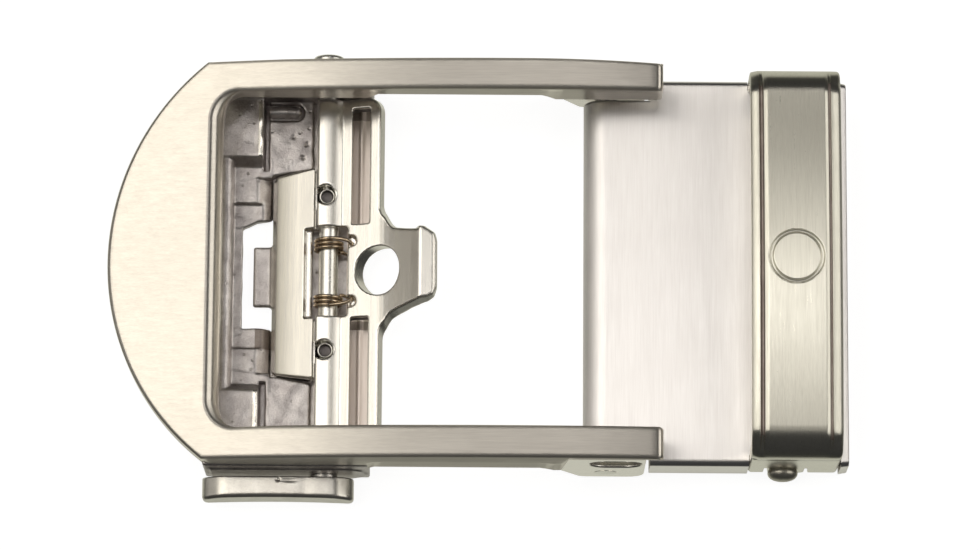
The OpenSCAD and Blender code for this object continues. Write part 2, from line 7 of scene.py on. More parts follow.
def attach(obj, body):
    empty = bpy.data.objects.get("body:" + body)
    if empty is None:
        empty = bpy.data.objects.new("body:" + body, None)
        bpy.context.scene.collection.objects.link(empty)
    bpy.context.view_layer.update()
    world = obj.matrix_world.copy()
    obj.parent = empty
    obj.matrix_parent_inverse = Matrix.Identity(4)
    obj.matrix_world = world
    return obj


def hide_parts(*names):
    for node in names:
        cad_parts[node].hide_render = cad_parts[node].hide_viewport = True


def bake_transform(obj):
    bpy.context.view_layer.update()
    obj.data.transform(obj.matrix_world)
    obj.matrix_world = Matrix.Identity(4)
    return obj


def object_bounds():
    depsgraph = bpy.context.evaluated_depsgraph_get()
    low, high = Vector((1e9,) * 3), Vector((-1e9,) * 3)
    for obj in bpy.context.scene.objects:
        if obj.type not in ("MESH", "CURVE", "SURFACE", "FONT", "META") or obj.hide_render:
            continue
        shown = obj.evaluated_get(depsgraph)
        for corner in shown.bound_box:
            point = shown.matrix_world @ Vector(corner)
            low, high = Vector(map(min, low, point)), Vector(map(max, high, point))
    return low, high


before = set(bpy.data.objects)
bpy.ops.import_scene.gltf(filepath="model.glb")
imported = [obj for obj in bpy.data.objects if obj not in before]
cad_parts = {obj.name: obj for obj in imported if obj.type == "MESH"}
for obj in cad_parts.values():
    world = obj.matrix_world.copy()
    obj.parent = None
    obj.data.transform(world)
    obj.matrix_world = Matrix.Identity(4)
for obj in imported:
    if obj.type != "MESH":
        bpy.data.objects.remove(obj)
cad_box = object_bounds()

# Every size below is in millimetres until a mesh is made
MM = 0.001


def add_to_scene(thing):
    bpy.context.scene.collection.objects.link(thing)


# Camera: the photograph looks down on the buckle, tilted a little towards the release lever
def place_camera():
    aim = Vector((0.83, -0.57, 5.4)) * MM
    distance = 500 * MM
    tilt = math.radians(12)
    roll = math.radians(0.4)
    back = Vector((0, -math.sin(tilt), math.cos(tilt)))
    across = Vector((1, 0, 0))
    turn = Matrix((across, back.cross(across), back)).transposed().to_4x4()
    data = bpy.data.cameras.new("photo_camera")
    data.sensor_width = 36
    data.lens = 172.15
    data.clip_end = 10
    camera = bpy.data.objects.new("photo_camera", data)
    camera.matrix_world = Matrix.Translation(aim + distance * back) @ turn @ Matrix.Rotation(roll, 4, "Z")
    add_to_scene(camera)
    bpy.context.scene.camera = camera


place_camera()


# Shader groups: each one is an effect that several finishes share
def new_group(name, **inputs):
    """An effect with named inputs, whose colour, gloss and relief vary over the surface"""
    group = bpy.data.node_groups.new(name, "ShaderNodeTree")
    for label, kind in inputs.items():
        group.interface.new_socket(label.replace("_", " "), in_out="INPUT", socket_type="NodeSocket" + kind)
    for label, kind in (("Color", "Color"), ("Roughness", "Float"), ("Height", "Float")):
        group.interface.new_socket(label, in_out="OUTPUT", socket_type="NodeSocket" + kind)
    return group, group.nodes.new("NodeGroupInput"), group.nodes.new("NodeGroupOutput")


def maths(tree, operation, a, b=None, c=None):
    """A sum on values that vary over the surface, or plain numbers"""
    node = tree.nodes.new("ShaderNodeMath")
    node.operation = operation
    for socket, value in zip(node.inputs, (a, b, c)):
        if isinstance(value, (int, float)):
            socket.default_value = value
        elif value is not None:
            tree.links.new(value, socket)
    return node.outputs[0]


def blend_colour(tree, factor, a, b):
    node = tree.nodes.new("ShaderNodeMix")
    node.data_type = "RGBA"
    for socket, value in ((node.inputs[0], factor), (node.inputs[6], a), (node.inputs[7], b)):
        tree.links.new(value, socket)
    return node.outputs[2]


def object_point(tree, stretch=None):
    """Places on the piece in millimetres, each axis times a stretch"""
    coords = tree.nodes.new("ShaderNodeTexCoord")
    scale = tree.nodes.new("ShaderNodeVectorMath")
    scale.operation = "MULTIPLY"
    tree.links.new(coords.outputs["Object"], scale.inputs[0])
    scale.inputs[1].default_value = (1 / MM,) * 3
    if stretch is None:
        return scale.outputs[0]
    pull = tree.nodes.new("ShaderNodeVectorMath")
    pull.operation = "MULTIPLY"
    tree.links.new(scale.outputs[0], pull.inputs[0])
    tree.links.new(stretch, pull.inputs[1])
    return pull.outputs[0]


def noise(tree, point, scale, detail):
    node = tree.nodes.new("ShaderNodeTexNoise")
    tree.links.new(point, node.inputs["Vector"])
    node.inputs["Scale"].default_value = scale
    node.inputs["Detail"].default_value = detail
    return node.outputs["Fac"]


def spread(tree, value, low, high):
    """Stretches the values between low and high to the range from 0 to 1"""
    node = tree.nodes.new("ShaderNodeMapRange")
    tree.links.new(value, node.inputs["Value"])
    for name, number in (("From Min", low), ("From Max", high)):
        node.inputs[name].default_value = number
    return node.outputs[0]


def put_out(group, out, colour, rough, height):
    for name, value in (("Color", colour), ("Roughness", rough), ("Height", height)):
        group.links.new(value, out.inputs[name])


def brushed_group():
    """Fine lines of a brushed face: they vary the tint and the gloss, and stand in low relief"""
    group, inp, out = new_group("brushed_lines", Tint="Color", Shade="Color", Stretch="Vector",
                                Roughness="Float", Depth="Float", Cloud="Float")
    point = object_point(group, inp.outputs["Stretch"])
    fine = noise(group, point, 9.0, 3.0)
    coarse = noise(group, point, 2.2, 2.0)
    cloud = noise(group, object_point(group), 0.16, 3.0)
    lines = maths(group, "ADD", maths(group, "MULTIPLY", fine, 0.6), maths(group, "MULTIPLY", coarse, 0.4))
    drift = maths(group, "MULTIPLY", spread(group, cloud, 0.35, 0.7), inp.outputs["Cloud"])
    mixed = maths(group, "ADD", spread(group, lines, 0.32, 0.68), drift)
    colour = blend_colour(group, mixed, inp.outputs["Tint"], inp.outputs["Shade"])
    rough = maths(group, "MULTIPLY_ADD", lines, 0.16, inp.outputs["Roughness"])
    height = maths(group, "MULTIPLY", lines, inp.outputs["Depth"])
    put_out(group, out, colour, rough, height)
    return group


def cast_group():
    """The skin of a casting: soft ripples, fine grain and a few small pits"""
    group, inp, out = new_group("cast_skin", Tint="Color", Shade="Color", Roughness="Float",
                                Depth="Float", Pits="Float", Pit_Scale="Float")
    point = object_point(group)
    ripple = noise(group, point, 0.55, 2.0)
    grain = noise(group, point, 6.0, 4.0)
    pit = group.nodes.new("ShaderNodeTexVoronoi")
    group.links.new(point, pit.inputs["Vector"])
    group.links.new(inp.outputs["Pit Scale"], pit.inputs["Scale"])
    off_pit = spread(group, pit.outputs["Distance"], 0.05, 0.16)
    hole = maths(group, "MULTIPLY", maths(group, "SUBTRACT", 1.0, off_pit), inp.outputs["Pits"])
    relief = maths(group, "ADD", ripple, maths(group, "MULTIPLY", grain, 0.35))
    mixed = maths(group, "ADD", spread(group, relief, 0.45, 0.9), maths(group, "MULTIPLY", hole, 0.5))
    colour = blend_colour(group, mixed, inp.outputs["Tint"], inp.outputs["Shade"])
    rough = maths(group, "MULTIPLY_ADD", grain, 0.2, inp.outputs["Roughness"])
    height = maths(group, "MULTIPLY", maths(group, "SUBTRACT", relief, hole), inp.outputs["Depth"])
    put_out(group, out, colour, rough, height)
    return group


BRUSHED = brushed_group()
CAST = cast_group()


def metal(name, group, tint, shade, smear=None, **values):
    """A metal finish from a shared group; smear is the way its brushing spreads a reflection"""
    material = bpy.data.materials.new(name)
    material.use_nodes = True
    tree = material.node_tree
    shader = tree.nodes["Principled BSDF"]
    shader.inputs["Metallic"].default_value = 1.0
    effect = tree.nodes.new("ShaderNodeGroup")
    effect.node_tree = group
    for key, value in {"Tint": (*tint, 1), "Shade": (*shade, 1), **values}.items():
        effect.inputs[key.replace("_", " ")].default_value = value
    tree.links.new(effect.outputs["Color"], shader.inputs["Base Color"])
    tree.links.new(effect.outputs["Roughness"], shader.inputs["Roughness"])
    bump = tree.nodes.new("ShaderNodeBump")
    bump.inputs["Distance"].default_value = MM
    bump.inputs["Strength"].default_value = 1.0
    tree.links.new(effect.outputs["Height"], bump.inputs["Height"])
    tree.links.new(bump.outputs["Normal"], shader.inputs["Normal"])
    if smear:
        shader.inputs["Anisotropic"].default_value = 0.85
        way = tree.nodes.new("ShaderNodeVectorTransform")
        way.vector_type = "VECTOR"
        way.convert_from = "OBJECT"
        way.convert_to = "WORLD"
        way.inputs[0].default_value = smear
        tree.links.new(way.outputs[0], shader.inputs["Tangent"])
    return material


# Finishes: the brushing runs along the strap on the front and across it on the other brushed pieces
ALONG_STRAP = {"smear": (0, 1, 0), "Stretch": (0.04, 1.6, 1.6)}
ACROSS_STRAP = {"smear": (1, 0, 0), "Stretch": (1.6, 0.04, 1.6)}
FACE = metal("brushed_frame_nickel", BRUSHED, (0.93, 0.88, 0.79), (0.82, 0.77, 0.69),
             Roughness=0.28, Depth=0.002, Cloud=0.2, **ALONG_STRAP)
CLAMP = metal("brushed_clamp_nickel", BRUSHED, (0.95, 0.925, 0.91), (0.87, 0.84, 0.825),
              Roughness=0.3, Depth=0.003, Cloud=0.3, **ACROSS_STRAP)
KEEPER = metal("brushed_keeper_nickel", BRUSHED, (0.80, 0.78, 0.69), (0.66, 0.64, 0.56),
               Roughness=0.22, Depth=0.003, Cloud=0.2, **ACROSS_STRAP)
SATIN = metal("satin_pawl_nickel", BRUSHED, (0.92, 0.89, 0.82), (0.80, 0.77, 0.72),
              Roughness=0.16, Depth=0.003, Cloud=0.25, **ACROSS_STRAP)
# The sill under the plate: a smoother brushed finish, with a tint lighter than the rough base's that is
# painted light, standing in for the light it catches through the slots
SILL = metal("smooth_sill_painted_light_nickel", BRUSHED, (0.84, 0.75, 0.69), (0.74, 0.65, 0.59),
             Roughness=0.3, Depth=0.003, Cloud=0.1, **ACROSS_STRAP)
ROUGH = metal("rough_cast_nickel", CAST, (0.74, 0.70, 0.68), (0.46, 0.42, 0.41),
              Roughness=0.28, Depth=0.09, Pits=0.5, Pit_Scale=0.8)
LEVER = metal("satin_lever_nickel", CAST, (0.85, 0.82, 0.75), (0.68, 0.65, 0.59),
              Roughness=0.22, Depth=0.02, Pits=0.3, Pit_Scale=0.7)
PIN = metal("turned_pin_steel", CAST, (0.84, 0.82, 0.76), (0.70, 0.68, 0.62),
            Roughness=0.12, Depth=0.01)
SHAFT = metal("satin_shaft_steel", CAST, (0.97, 0.95, 0.89), (0.88, 0.86, 0.80),
              Roughness=0.2, Depth=0.01)
# Painted shade: a dark, dull finish laid on the keeper's grooves, on the sill under the slots' ends and on
# a low strip beside the lower ledge, where shade falls
PAINTED_SHADE = metal("painted_shade_dull_nickel", CAST, (0.46, 0.40, 0.36), (0.34, 0.29, 0.26),
               Roughness=0.42, Depth=0.02)
# Painted shade: a near-black finish in the roll pins' tubes and mouths and on the slots' upper ends, where
# shade falls
PAINTED_DEEP_SHADE = metal("painted_deep_shade_steel", CAST, (0.24, 0.22, 0.22), (0.14, 0.13, 0.12),
             Roughness=0.45, Depth=0.01)
RIVET = metal("satin_rivet_nickel", CAST, (0.76, 0.73, 0.64), (0.60, 0.57, 0.49),
              Roughness=0.3, Depth=0.02)
WIRE = metal("drawn_spring_wire", CAST, (0.76, 0.62, 0.45), (0.50, 0.38, 0.26),
             Roughness=0.12, Depth=0.01)


def finish_with(piece, material):
    """Gives a piece one finish in place of what it had"""
    piece.data.materials.clear()
    piece.data.materials.append(material)


NODE_FINISH = {
    "frame": SATIN, "pawl": SATIN, "axle": PIN, "roll_pin_upper": PIN, "roll_pin_lower": PIN,
    "spring_upper": WIRE, "spring_lower": WIRE, "release_lever": LEVER, "hinge_pin": PIN,
    "clamp_body": CLAMP, "clamp_jaw": LEVER, "keeper_band": KEEPER, "keeper_rivet_upper": PIN,
    "keeper_rivet_lower": PIN}
for node_name, finish in NODE_FINISH.items():
    finish_with(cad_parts[node_name], finish)


# Meshes
def make_piece(name, points, faces, body, material, slot, *nodes, crease=None):
    """A smooth mesh from points in millimetres, riding on a body in place of CAD nodes;
    edges steeper than crease degrees stay sharp"""
    mesh = bpy.data.meshes.new(name)
    mesh.from_pydata(np.asarray(points, float) * MM, [], faces)
    mesh.update()
    for polygon in mesh.polygons:
        polygon.use_smooth = True
    if crease:
        mesh.set_sharp_from_angle(angle=math.radians(crease))
    piece = bpy.data.objects.new(name, mesh)
    add_to_scene(piece)
    finish_with(piece, material)
    if body:
        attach(piece, body)
    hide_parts(*nodes)
    return piece


def paint_faces(piece, choose, *finishes):
    """Gives each face the finish that choose returns for its middle in millimetres"""
    for finish in finishes:
        piece.data.materials.append(finish)
    number = {material.name: i for i, material in enumerate(piece.data.materials)}
    for polygon in piece.data.polygons:
        polygon.material_index = number[choose(*(polygon.center / MM)).name]


def loft(rings):
    """Joins closed rings of the same number of points, and caps both ends"""
    count = len(rings[0])
    points = [p for ring in rings for p in ring]
    faces = []
    for i in range(len(rings) - 1):
        for k in range(count):
            n = (k + 1) % count
            faces.append((i * count + k, i * count + n, (i + 1) * count + n, (i + 1) * count + k))
    faces.append(tuple(range(count - 1, -1, -1)))
    faces.append(tuple(range(len(points) - count, len(points))))
    return points, faces


def inside_out(faces):
    return [face[::-1] for face in faces]


def turned(axis_x, axis_y, profile, sides):
    """A form turned about an upright axis, from pairs of radius and height"""
    turn = np.linspace(0, 2 * math.pi, sides, endpoint=False)
    rings = [[(axis_x + r * math.cos(a), axis_y + r * math.sin(a), z) for a in turn] for r, z in profile]
    points, faces = loft(rings)
    return points, inside_out(faces)


def rod(axis_x, axis_z, rows, sides):
    """A form turned about an axis across the strap, from rows of Y, radius and, if any, a shift along X"""
    turn = np.linspace(0, 2 * math.pi, sides, endpoint=False)
    return loft([[(axis_x + sum(shift) + r * math.cos(a), y, axis_z + r * math.sin(a)) for a in turn]
                 for y, r, *shift in rows])


def arc(cx, cy, r, start, end, count):
    """Points on an arc, from one angle to the other in degrees"""
    turn = [math.radians(start + (end - start) * i / count) for i in range(count + 1)]
    return [(cx + r * math.cos(a), cy + r * math.sin(a)) for a in turn]


def share(value, start, length):
    """How far a value is past start, as a share of length from 0 to 1"""
    return min(1.0, max(0.0, (value - start) / length))


def ease(t):
    return t * t * (3 - 2 * t)


# The front: a brushed face with rounded edges along a bar that is round in plan and two straight arms
FRONT = {"half": 21.5, "gap": 18.25, "end": 19.25, "tip": -39.75, "radius": 27.4, "crest_x": 4.0,
         "crest_z": 12.55, "curve": 250.0, "window_x": -29.2, "corner": 3.6, "arm_low_out": 6.5,
         "arm_low_in": 7.5, "bar_thick": 2.4, "arm_round": 0.55, "bar_round": 1.6, "flare": 0.35}
BAR_X = FRONT["tip"] + FRONT["radius"]
THIN_ARM = (-12.2, 7.8)
EAR_START = 8.6


def face_height(x):
    r = FRONT["curve"]
    return FRONT["crest_z"] - r + math.sqrt(r * r - (x - FRONT["crest_x"]) ** 2)


def turn_2d(angle):
    """A plan direction"""
    return Vector((math.cos(angle), math.sin(angle)))


def front_stations():
    """Pairs of plan points along the front, from the upper arm's end to the lower one's:
    outer point, its inward direction, inner point, its inward direction, and how much of a bar it is"""
    half, end, radius, corner_r = (FRONT[key] for key in ("half", "end", "radius", "corner"))
    edge_x = FRONT["window_x"]
    edge_y = FRONT["gap"] + FRONT["arm_round"]
    knee = Vector((edge_x + corner_r, edge_y - corner_r))
    corner_a = math.asin(half / radius)
    corner_x = BAR_X - radius * math.cos(corner_a)
    down = Vector((0, -1))
    arm_steps, corner_steps, meet, edge_steps, blend_steps = 60, 16, 5, 26, 14

    arm = []
    for x in np.linspace(end, knee.x, arm_steps):
        arm.append((Vector((x, half)), down, Vector((x, edge_y)), -down, 0.0))

    bar = []
    corner = [math.radians(90 + 90 * i / corner_steps) for i in range(1, corner_steps + 1)]
    for i, a in enumerate(corner[:meet]):
        inward = down
        if i == meet - 1:
            arc_in = Vector((math.cos(corner_a), -math.sin(corner_a)))
            inward = (down + arc_in) / (1 + down.dot(arc_in))
        x = knee.x + (corner_x - knee.x) * (i + 1) / meet
        bar.append((Vector((x, half)), inward, knee + corner_r * turn_2d(a), turn_2d(a)))
    inner_row = [(knee + corner_r * turn_2d(a), turn_2d(a)) for a in corner[meet:]]
    for i in range(1, edge_steps + 1):
        inner_row.append((Vector((edge_x, knee.y * (1 - i / edge_steps))), Vector((-1, 0))))
    for i, (inner, way) in enumerate(inner_row):
        a = math.pi - corner_a + corner_a * (i + 1) / len(inner_row)
        bar.append((Vector((BAR_X, 0)) + radius * turn_2d(a), -turn_2d(a), inner, way))

    upper = arm + [s + (ease(share(i + 1, 0, blend_steps)),) for i, s in enumerate(bar)]
    lower = [tuple(Vector((v.x, -v.y)) for v in s[:4]) + (s[4],) for s in reversed(upper[:-1])]
    return upper + lower


def front_ring(station, sink=0.0, pinch=0.0):
    """One closed section of the front, sunk and pinched near an arm's end"""
    outer, out_in, inner, in_in, bar = station
    edge, edge_steps, window_steps = 0.42, 5, 12
    left_end, bar_rise, thin_rise_out, thin_rise_in, ear_rise = -29, 1.4, 1.4, 1.75, 4.7
    ring = []

    def put(p, z):
        ring.append((p.x, p.y, z))

    if outer.x > left_end:
        low_out = FRONT["arm_low_out"] + bar_rise * bar
        flare = FRONT["flare"] * (1 - bar)
    else:
        low_out = face_height(outer.x) - FRONT["bar_thick"]
        flare = 0.0
    thin = share(outer.x, THIN_ARM[0], 1.0) * share(-outer.x, -THIN_ARM[1], 1.2) * (1 - bar)
    by_ear = share(outer.x, EAR_START, 0.6)
    low_out += thin_rise_out * thin + ear_rise * by_ear
    flare *= 1 - by_ear
    put(outer - flare * out_in, low_out)
    put(outer - flare * 0.5 * out_in, (low_out + face_height(outer.x)) / 2)
    for i in range(edge_steps + 1):
        a = math.pi / 2 * i / edge_steps
        p = outer + (edge * (1 - math.cos(a)) + pinch) * out_in
        put(p, face_height(p.x) - edge * (1 - math.sin(a)) - sink)
    first = outer + (edge + pinch) * out_in
    last = inner + pinch * in_in
    for t in (0.03, 0.2, 0.5, 0.8, 0.94, 0.985):
        p = first.lerp(last, t)
        put(p, face_height(p.x) - sink)
    top = face_height(inner.x) - sink
    bar_low_in = face_height(inner.x) - FRONT["bar_thick"]
    low_in = FRONT["arm_low_in"] * (1 - bar) + bar_low_in * bar + thin_rise_in * thin
    reach = FRONT["arm_round"] * (1 - bar) + FRONT["bar_round"] * bar
    fall = 0.4 * (1 - bar) + (top - low_in - 0.3) * bar
    for i in range(window_steps + 1):
        a = math.pi / 2 * i / window_steps
        p = last - reach * math.sin(a) * in_in
        put(p, top - fall * (1 - math.cos(a)))
    p = last - reach * in_in
    put(p, low_in + 0.25)
    put(p + 0.25 * in_in, low_in)
    return ring


def trim_arm(x, y):
    """The arms are not quite alike: the upper one is a little fuller outside, the lower one inside"""
    along = share(x, -29, 8)
    across = (abs(y) - FRONT["gap"]) / (FRONT["half"] - FRONT["gap"])
    if y > 0:
        taper = share(x, 5, 14)
        return y + along * min(1.1, max(0, across)) * (0.15 - 0.42 * taper * taper)
    return y + along * (1 - share(across, 0, 1)) * 0.2


def build_front():
    stations = front_stations()
    end_r, end_pinch, turns = 0.65, 0.25, 6
    limit = FRONT["end"] - end_r
    head, tail = [], []
    for i in range(turns):
        a = math.pi / 2 * (1 - i / turns)
        x = limit + end_r * math.sin(a)
        drop = 1 - math.cos(a)
        for rings, (outer, out_in, inner, in_in, bar) in ((head, stations[0]), (tail, stations[-1])):
            moved = (Vector((x, outer.y)), out_in, Vector((x, inner.y)), in_in, bar)
            rings.append(front_ring(moved, end_r * drop, end_pinch * drop))
    body = [front_ring(station) for station in stations if station[0].x <= limit]
    points, faces = loft(head + body + tail[::-1])
    points = [(x, trim_arm(x, y), z) for x, y, z in points]
    make_piece("frame_front", points, faces, "frame", FACE, "frame_metal", "frame")


build_front()


# Solid forms as distances in millimetres: negative inside, and every function takes arrays of X, Y and Z
def slab(value, low, high):
    """Between two planes"""
    return np.maximum(low - value, value - high)


def overlap(edge, *parts):
    """Where all the parts meet, with the edges between them rounded"""
    raised = [part + edge for part in parts]
    outside = sum(np.maximum(part, 0) ** 2 for part in raised)
    inside = raised[0]
    for part in raised[1:]:
        inside = np.maximum(inside, part)
    return np.minimum(inside, 0) + np.sqrt(outside) - edge


def join(fillet, *parts):
    """All the parts together, with a fillet in the corners between them"""
    whole = parts[0]
    for part in parts[1:]:
        near = np.maximum(fillet - np.abs(whole - part), 0) / fillet
        whole = np.minimum(whole, part) - near * near * fillet / 4
    return whole


def carve(edge, body, *cuts):
    """The body without the cuts, with rounded rims"""
    for cut in cuts:
        body = -join(edge, -body, cut)
    return body


def block(p, low, high, edge):
    """A box with rounded edges, from its lower to its upper corner"""
    return overlap(edge, *(slab(v, a, b) for v, a, b in zip(p, low, high)))


def outline(u, v, corners):
    """Distance to a closed outline of straight lines"""
    best = np.full(np.broadcast(u, v).shape, 1e9)
    sign = np.ones(best.shape)
    for (ax, ay), (bx, by) in zip(corners, corners[1:] + corners[:1]):
        ex, ey = bx - ax, by - ay
        wx, wy = u - ax, v - ay
        along = np.clip((wx * ex + wy * ey) / (ex * ex + ey * ey), 0, 1)
        best = np.minimum(best, (wx - ex * along) ** 2 + (wy - ey * along) ** 2)
        above, below, left = v >= ay, v < by, ex * wy > ey * wx
        flip = (above & below & left) | (~above & ~below & ~left)
        sign = np.where(flip, -sign, sign)
    return sign * np.sqrt(best)


def beyond(value, start, length):
    """How far an array's values are past start, as a share of length from 0 to 1"""
    return np.clip((value - start) / length, 0, 1)


def height_along(x, path):
    """Height of a path of X and Z at each X"""
    return np.interp(x, [p[0] for p in path], [p[1] for p in path])


CELL_CORNERS = [(i, j, k) for i in (0, 1) for j in (0, 1) for k in (0, 1)]
CELL_EDGES = [(a, b) for a in range(8) for b in range(a + 1, 8)
              if sum(m != n for m, n in zip(CELL_CORNERS[a], CELL_CORNERS[b])) == 1]


def skin(field, low, high, step):
    """Points and faces of the surface where a field is zero"""
    axes = [np.arange(a, b + step, step) for a, b in zip(low, high)]
    value = field(*np.meshgrid(*axes, indexing="ij", sparse=True)).astype(np.float32)
    cells = [n - 1 for n in value.shape]
    corners = [value[i:cells[0] + i, j:cells[1] + j, k:cells[2] + k] for i, j, k in CELL_CORNERS]
    count = sum((c < 0).astype(np.int8) for c in corners)
    crossed = (count > 0) & (count < 8)
    where = np.argwhere(crossed)
    number = np.full(crossed.shape, -1, np.int64)
    number[crossed] = np.arange(len(where))
    held = np.stack([c[crossed] for c in corners], 1)
    total = np.zeros((len(where), 3))
    hits = np.zeros(len(where))
    for a, b in CELL_EDGES:
        va, vb = held[:, a], held[:, b]
        change = (va < 0) != (vb < 0)
        t = np.where(change, va / np.where(change, va - vb, 1), 0)[:, None]
        spot = np.array(CELL_CORNERS[a]) * (1 - t) + np.array(CELL_CORNERS[b]) * t
        total += spot * change[:, None]
        hits += change
    points = (where + total / hits[:, None]) * step + np.array([a[0] for a in axes])
    for _ in range(2):
        points = settle(field, points, step)
    inside = value < 0
    faces = []
    for axis in range(3):
        one, two = [a for a in range(3) if a != axis]
        before = np.take(inside, range(value.shape[axis] - 1), axis)
        after = np.take(inside, range(1, value.shape[axis]), axis)
        spots = np.argwhere(before != after)
        spots = spots[(spots[:, one] > 0) & (spots[:, two] > 0)
                      & (spots[:, one] < cells[one]) & (spots[:, two] < cells[two])]
        ring = []
        for da, db in ((-1, -1), (0, -1), (0, 0), (-1, 0)):
            cell = spots.copy()
            cell[:, one] += da
            cell[:, two] += db
            ring.append(number[tuple(cell.T)])
        quads = np.stack(ring, 1)
        outward = before[tuple(spots.T)] ^ (axis == 1)
        faces.append(np.where(outward[:, None], quads, quads[:, ::-1]))
    return points, np.concatenate(faces)


def settle(field, points, step):
    """Moves points onto the surface, along the field's own slope"""
    h = step * 0.25
    here = field(*points.T)
    slope = []
    for axis in range(3):
        ahead = points.copy()
        ahead[:, axis] += h
        behind = points.copy()
        behind[:, axis] -= h
        slope.append((field(*ahead.T) - field(*behind.T)) / (2 * h))
    slope = np.stack(slope, 1)
    size = np.maximum((slope ** 2).sum(1), 0.05)
    move = -(here / size)[:, None] * slope
    return points + np.clip(move, -step / 2, step / 2)


def make_form(name, field, low, high, step, *about):
    """A piece from a solid form between two corners; about is what make_piece takes after its faces"""
    points, faces = skin(field, low, high, step)
    return make_piece(name, points, faces.tolist(), *about)


# The pieces' shared axes, as X and Z: the pawl's axle, the hinge pin and the keeper's rivets
AXLE = (-16.65, 2.75)
HINGE = (13.35, 3.0)
RIVET_AXIS = (32.3, 1.9)

# The base under the pawl: a rough casting with stepped floors, corner blocks and a rounded lip
BASE = {"x0": -29.3, "x1": -11.75, "wall": 21.85, "bay": 19.3, "top": 8.1, "floor_half": 19.6,
        "floor_x": -28, "floor_end": -18.3, "floor_top": 1.6, "ledge_end": -22.7, "low_top": 1.1}
BLOCK_RIGHT = (-23.6, -23.75)
BOSS = [(-28.6, 1.6), (-27.8, 0.95), (-13.6, 0.95), (-12.5, 1.9), (-11.95, 3.6), (-12.5, 5.4), (-13.6, 6.3),
        (-28.6, 6.3)]
SILL_TOP = [(-14.4, 0.5), (-13.35, 0.62), (-13.2, 0.74), (-12.98, 0.74), (-12.68, 0.42), (-12.55, 0.44),
            (-11.85, 0.47)]
RIB = {"x": -22.1, "half": 1.9, "y": 18.0, "z": 2.1, "radius": 0.62, "moat": 0.92, "moat_low": 1.25}
FLOOR_PITS = ((-20.45, 15.4), (-18.95, 14.6), (-19.4, 13.1), (-24.1, 10.6))


def base_walls(x, side, z):
    """The deep walls outside the bay, each with a flat boss on its outer face"""
    wall, bay = BASE["wall"], BASE["bay"]
    deep = overlap(1.1, slab(x, BASE["x0"], BASE["x1"]), -z)
    walls = overlap(0.25, deep, slab(side, bay, wall), z - BASE["top"])
    walls = np.maximum(walls, overlap(1.1, side - wall, -z))
    return walls, overlap(0.12, outline(x, z, BOSS), slab(side, bay + 1, wall + 0.15))


def base_floors(x, y, side, z):
    """The stepped floors, the lip under the front bar and the web that carries it"""
    left, half, top, low_top = (BASE[key] for key in ("floor_x", "floor_half", "floor_top", "low_top"))
    wing_end = 11.05 + (x + 22.55) * 0.17
    floor = overlap(0.12, slab(x, left, BASE["floor_end"]), side - half, -z, z - top, wing_end - side)
    moat = np.hypot(np.maximum(np.abs(x - RIB["x"]) - RIB["half"], 0), side - RIB["y"] - 0.05) - RIB["moat"]
    floor = carve(0.08, floor, np.where(y > 0, np.maximum(moat, RIB["moat_low"] - z), 1.0))
    ramp = (x + 24.15) * 0.66 + (z - top) * 0.75
    ledge_ramp = np.where(side < 10.7, ramp, -1.0)
    across = slab(x, left, BASE["ledge_end"])
    ledge = overlap(0.12, across, slab(side, 7.95, 13), slab(z, 0, top), ledge_ramp)
    low_edge = np.where(y > 0, height_along(x, [(-25.7, 5.35), (-24.3, 6.0), (-22.6, 6.3)]), 5.7)
    low = overlap(0.12, across, low_edge - side, side - 8.4, slab(z, 0, low_top), ramp)
    middle = block((x, side, z), (left, -1, 0), (-25.8, 6.5, low_top), 0.12)
    lip = overlap(0.1, np.hypot(x + 27.65, z - 2.15) - 0.85, side - half)
    web = block((x, side, z), (-28.5, -1, 0), (-26.8, half, 2.15), 0.1)
    return floor, ledge, low, middle, lip, web


def base_blocks(x, y, side, z):
    """The corner blocks, the rib beside the upper one, the sill under the plate and the apron"""
    half, top = BASE["floor_half"], BASE["floor_top"]
    right = np.where(y > 0, *BLOCK_RIGHT)
    crown = 3.12 + 0.16 * beyond(x, right - 0.8, 0.7)
    block_end = (side - 11.95) * -0.874 + (z - top) * 0.486
    blocks = overlap(0.3, x - right, z - crown, side - 25)
    blocks = overlap(0.2, blocks, block_end, -28.5 - x, side - half, -z)
    past_rib = np.maximum(np.abs(x - RIB["x"]) - RIB["half"], 0)
    rib = np.sqrt(past_rib ** 2 + (side - RIB["y"]) ** 2 + (z - RIB["z"]) ** 2) - RIB["radius"]
    sill_end = np.where(side < 4.4, -13.4, -11.85)
    sill = overlap(0.05, slab(x, -20.3, sill_end), side - half, -z, z - height_along(x, SILL_TOP))
    apron_side = np.where(y > 0, side - 0.55, side)
    apron = block((x, apron_side, z), (-24, 5.8, 0), (-18, 13, 0.18), 0.08)
    return blocks, np.maximum(rib, -y), sill, apron


def base_field(x, y, z):
    side = np.abs(y)
    walls, boss = base_walls(x, side, z)
    shell = join(0.2, walls, *base_floors(x, y, side, z))
    shell = join(0.12, shell, *base_blocks(x, y, side, z))
    shell = join(0.15, shell, boss)
    bore = np.hypot(x - AXLE[0], z - AXLE[1]) - 1.25
    lane = overlap(0.08, slab(x, np.where(y > 0, *BLOCK_RIGHT), -23.05), slab(side, 11.6, 19.2), 0.25 - z)
    shell = carve(0.1, carve(0.1, shell, bore), lane)
    wobble = 0.035 * np.sin(2.1 * x + 0.8 * np.sin(1.3 * y)) * np.sin(1.7 * y + 0.9 * np.sin(1.1 * x))
    inner = 1 / (1 + np.exp(-6 * (BASE["bay"] + 0.1 - side))) / (1 + np.exp(6 * (x + 15.2)))
    pits = [np.sqrt((x - px) ** 2 + (y - py) ** 2 + (z - 1.75) ** 2) - 0.3 for px, py in FLOOR_PITS]
    return np.maximum(carve(0.08, shell + wobble * inner, *pits), -z)


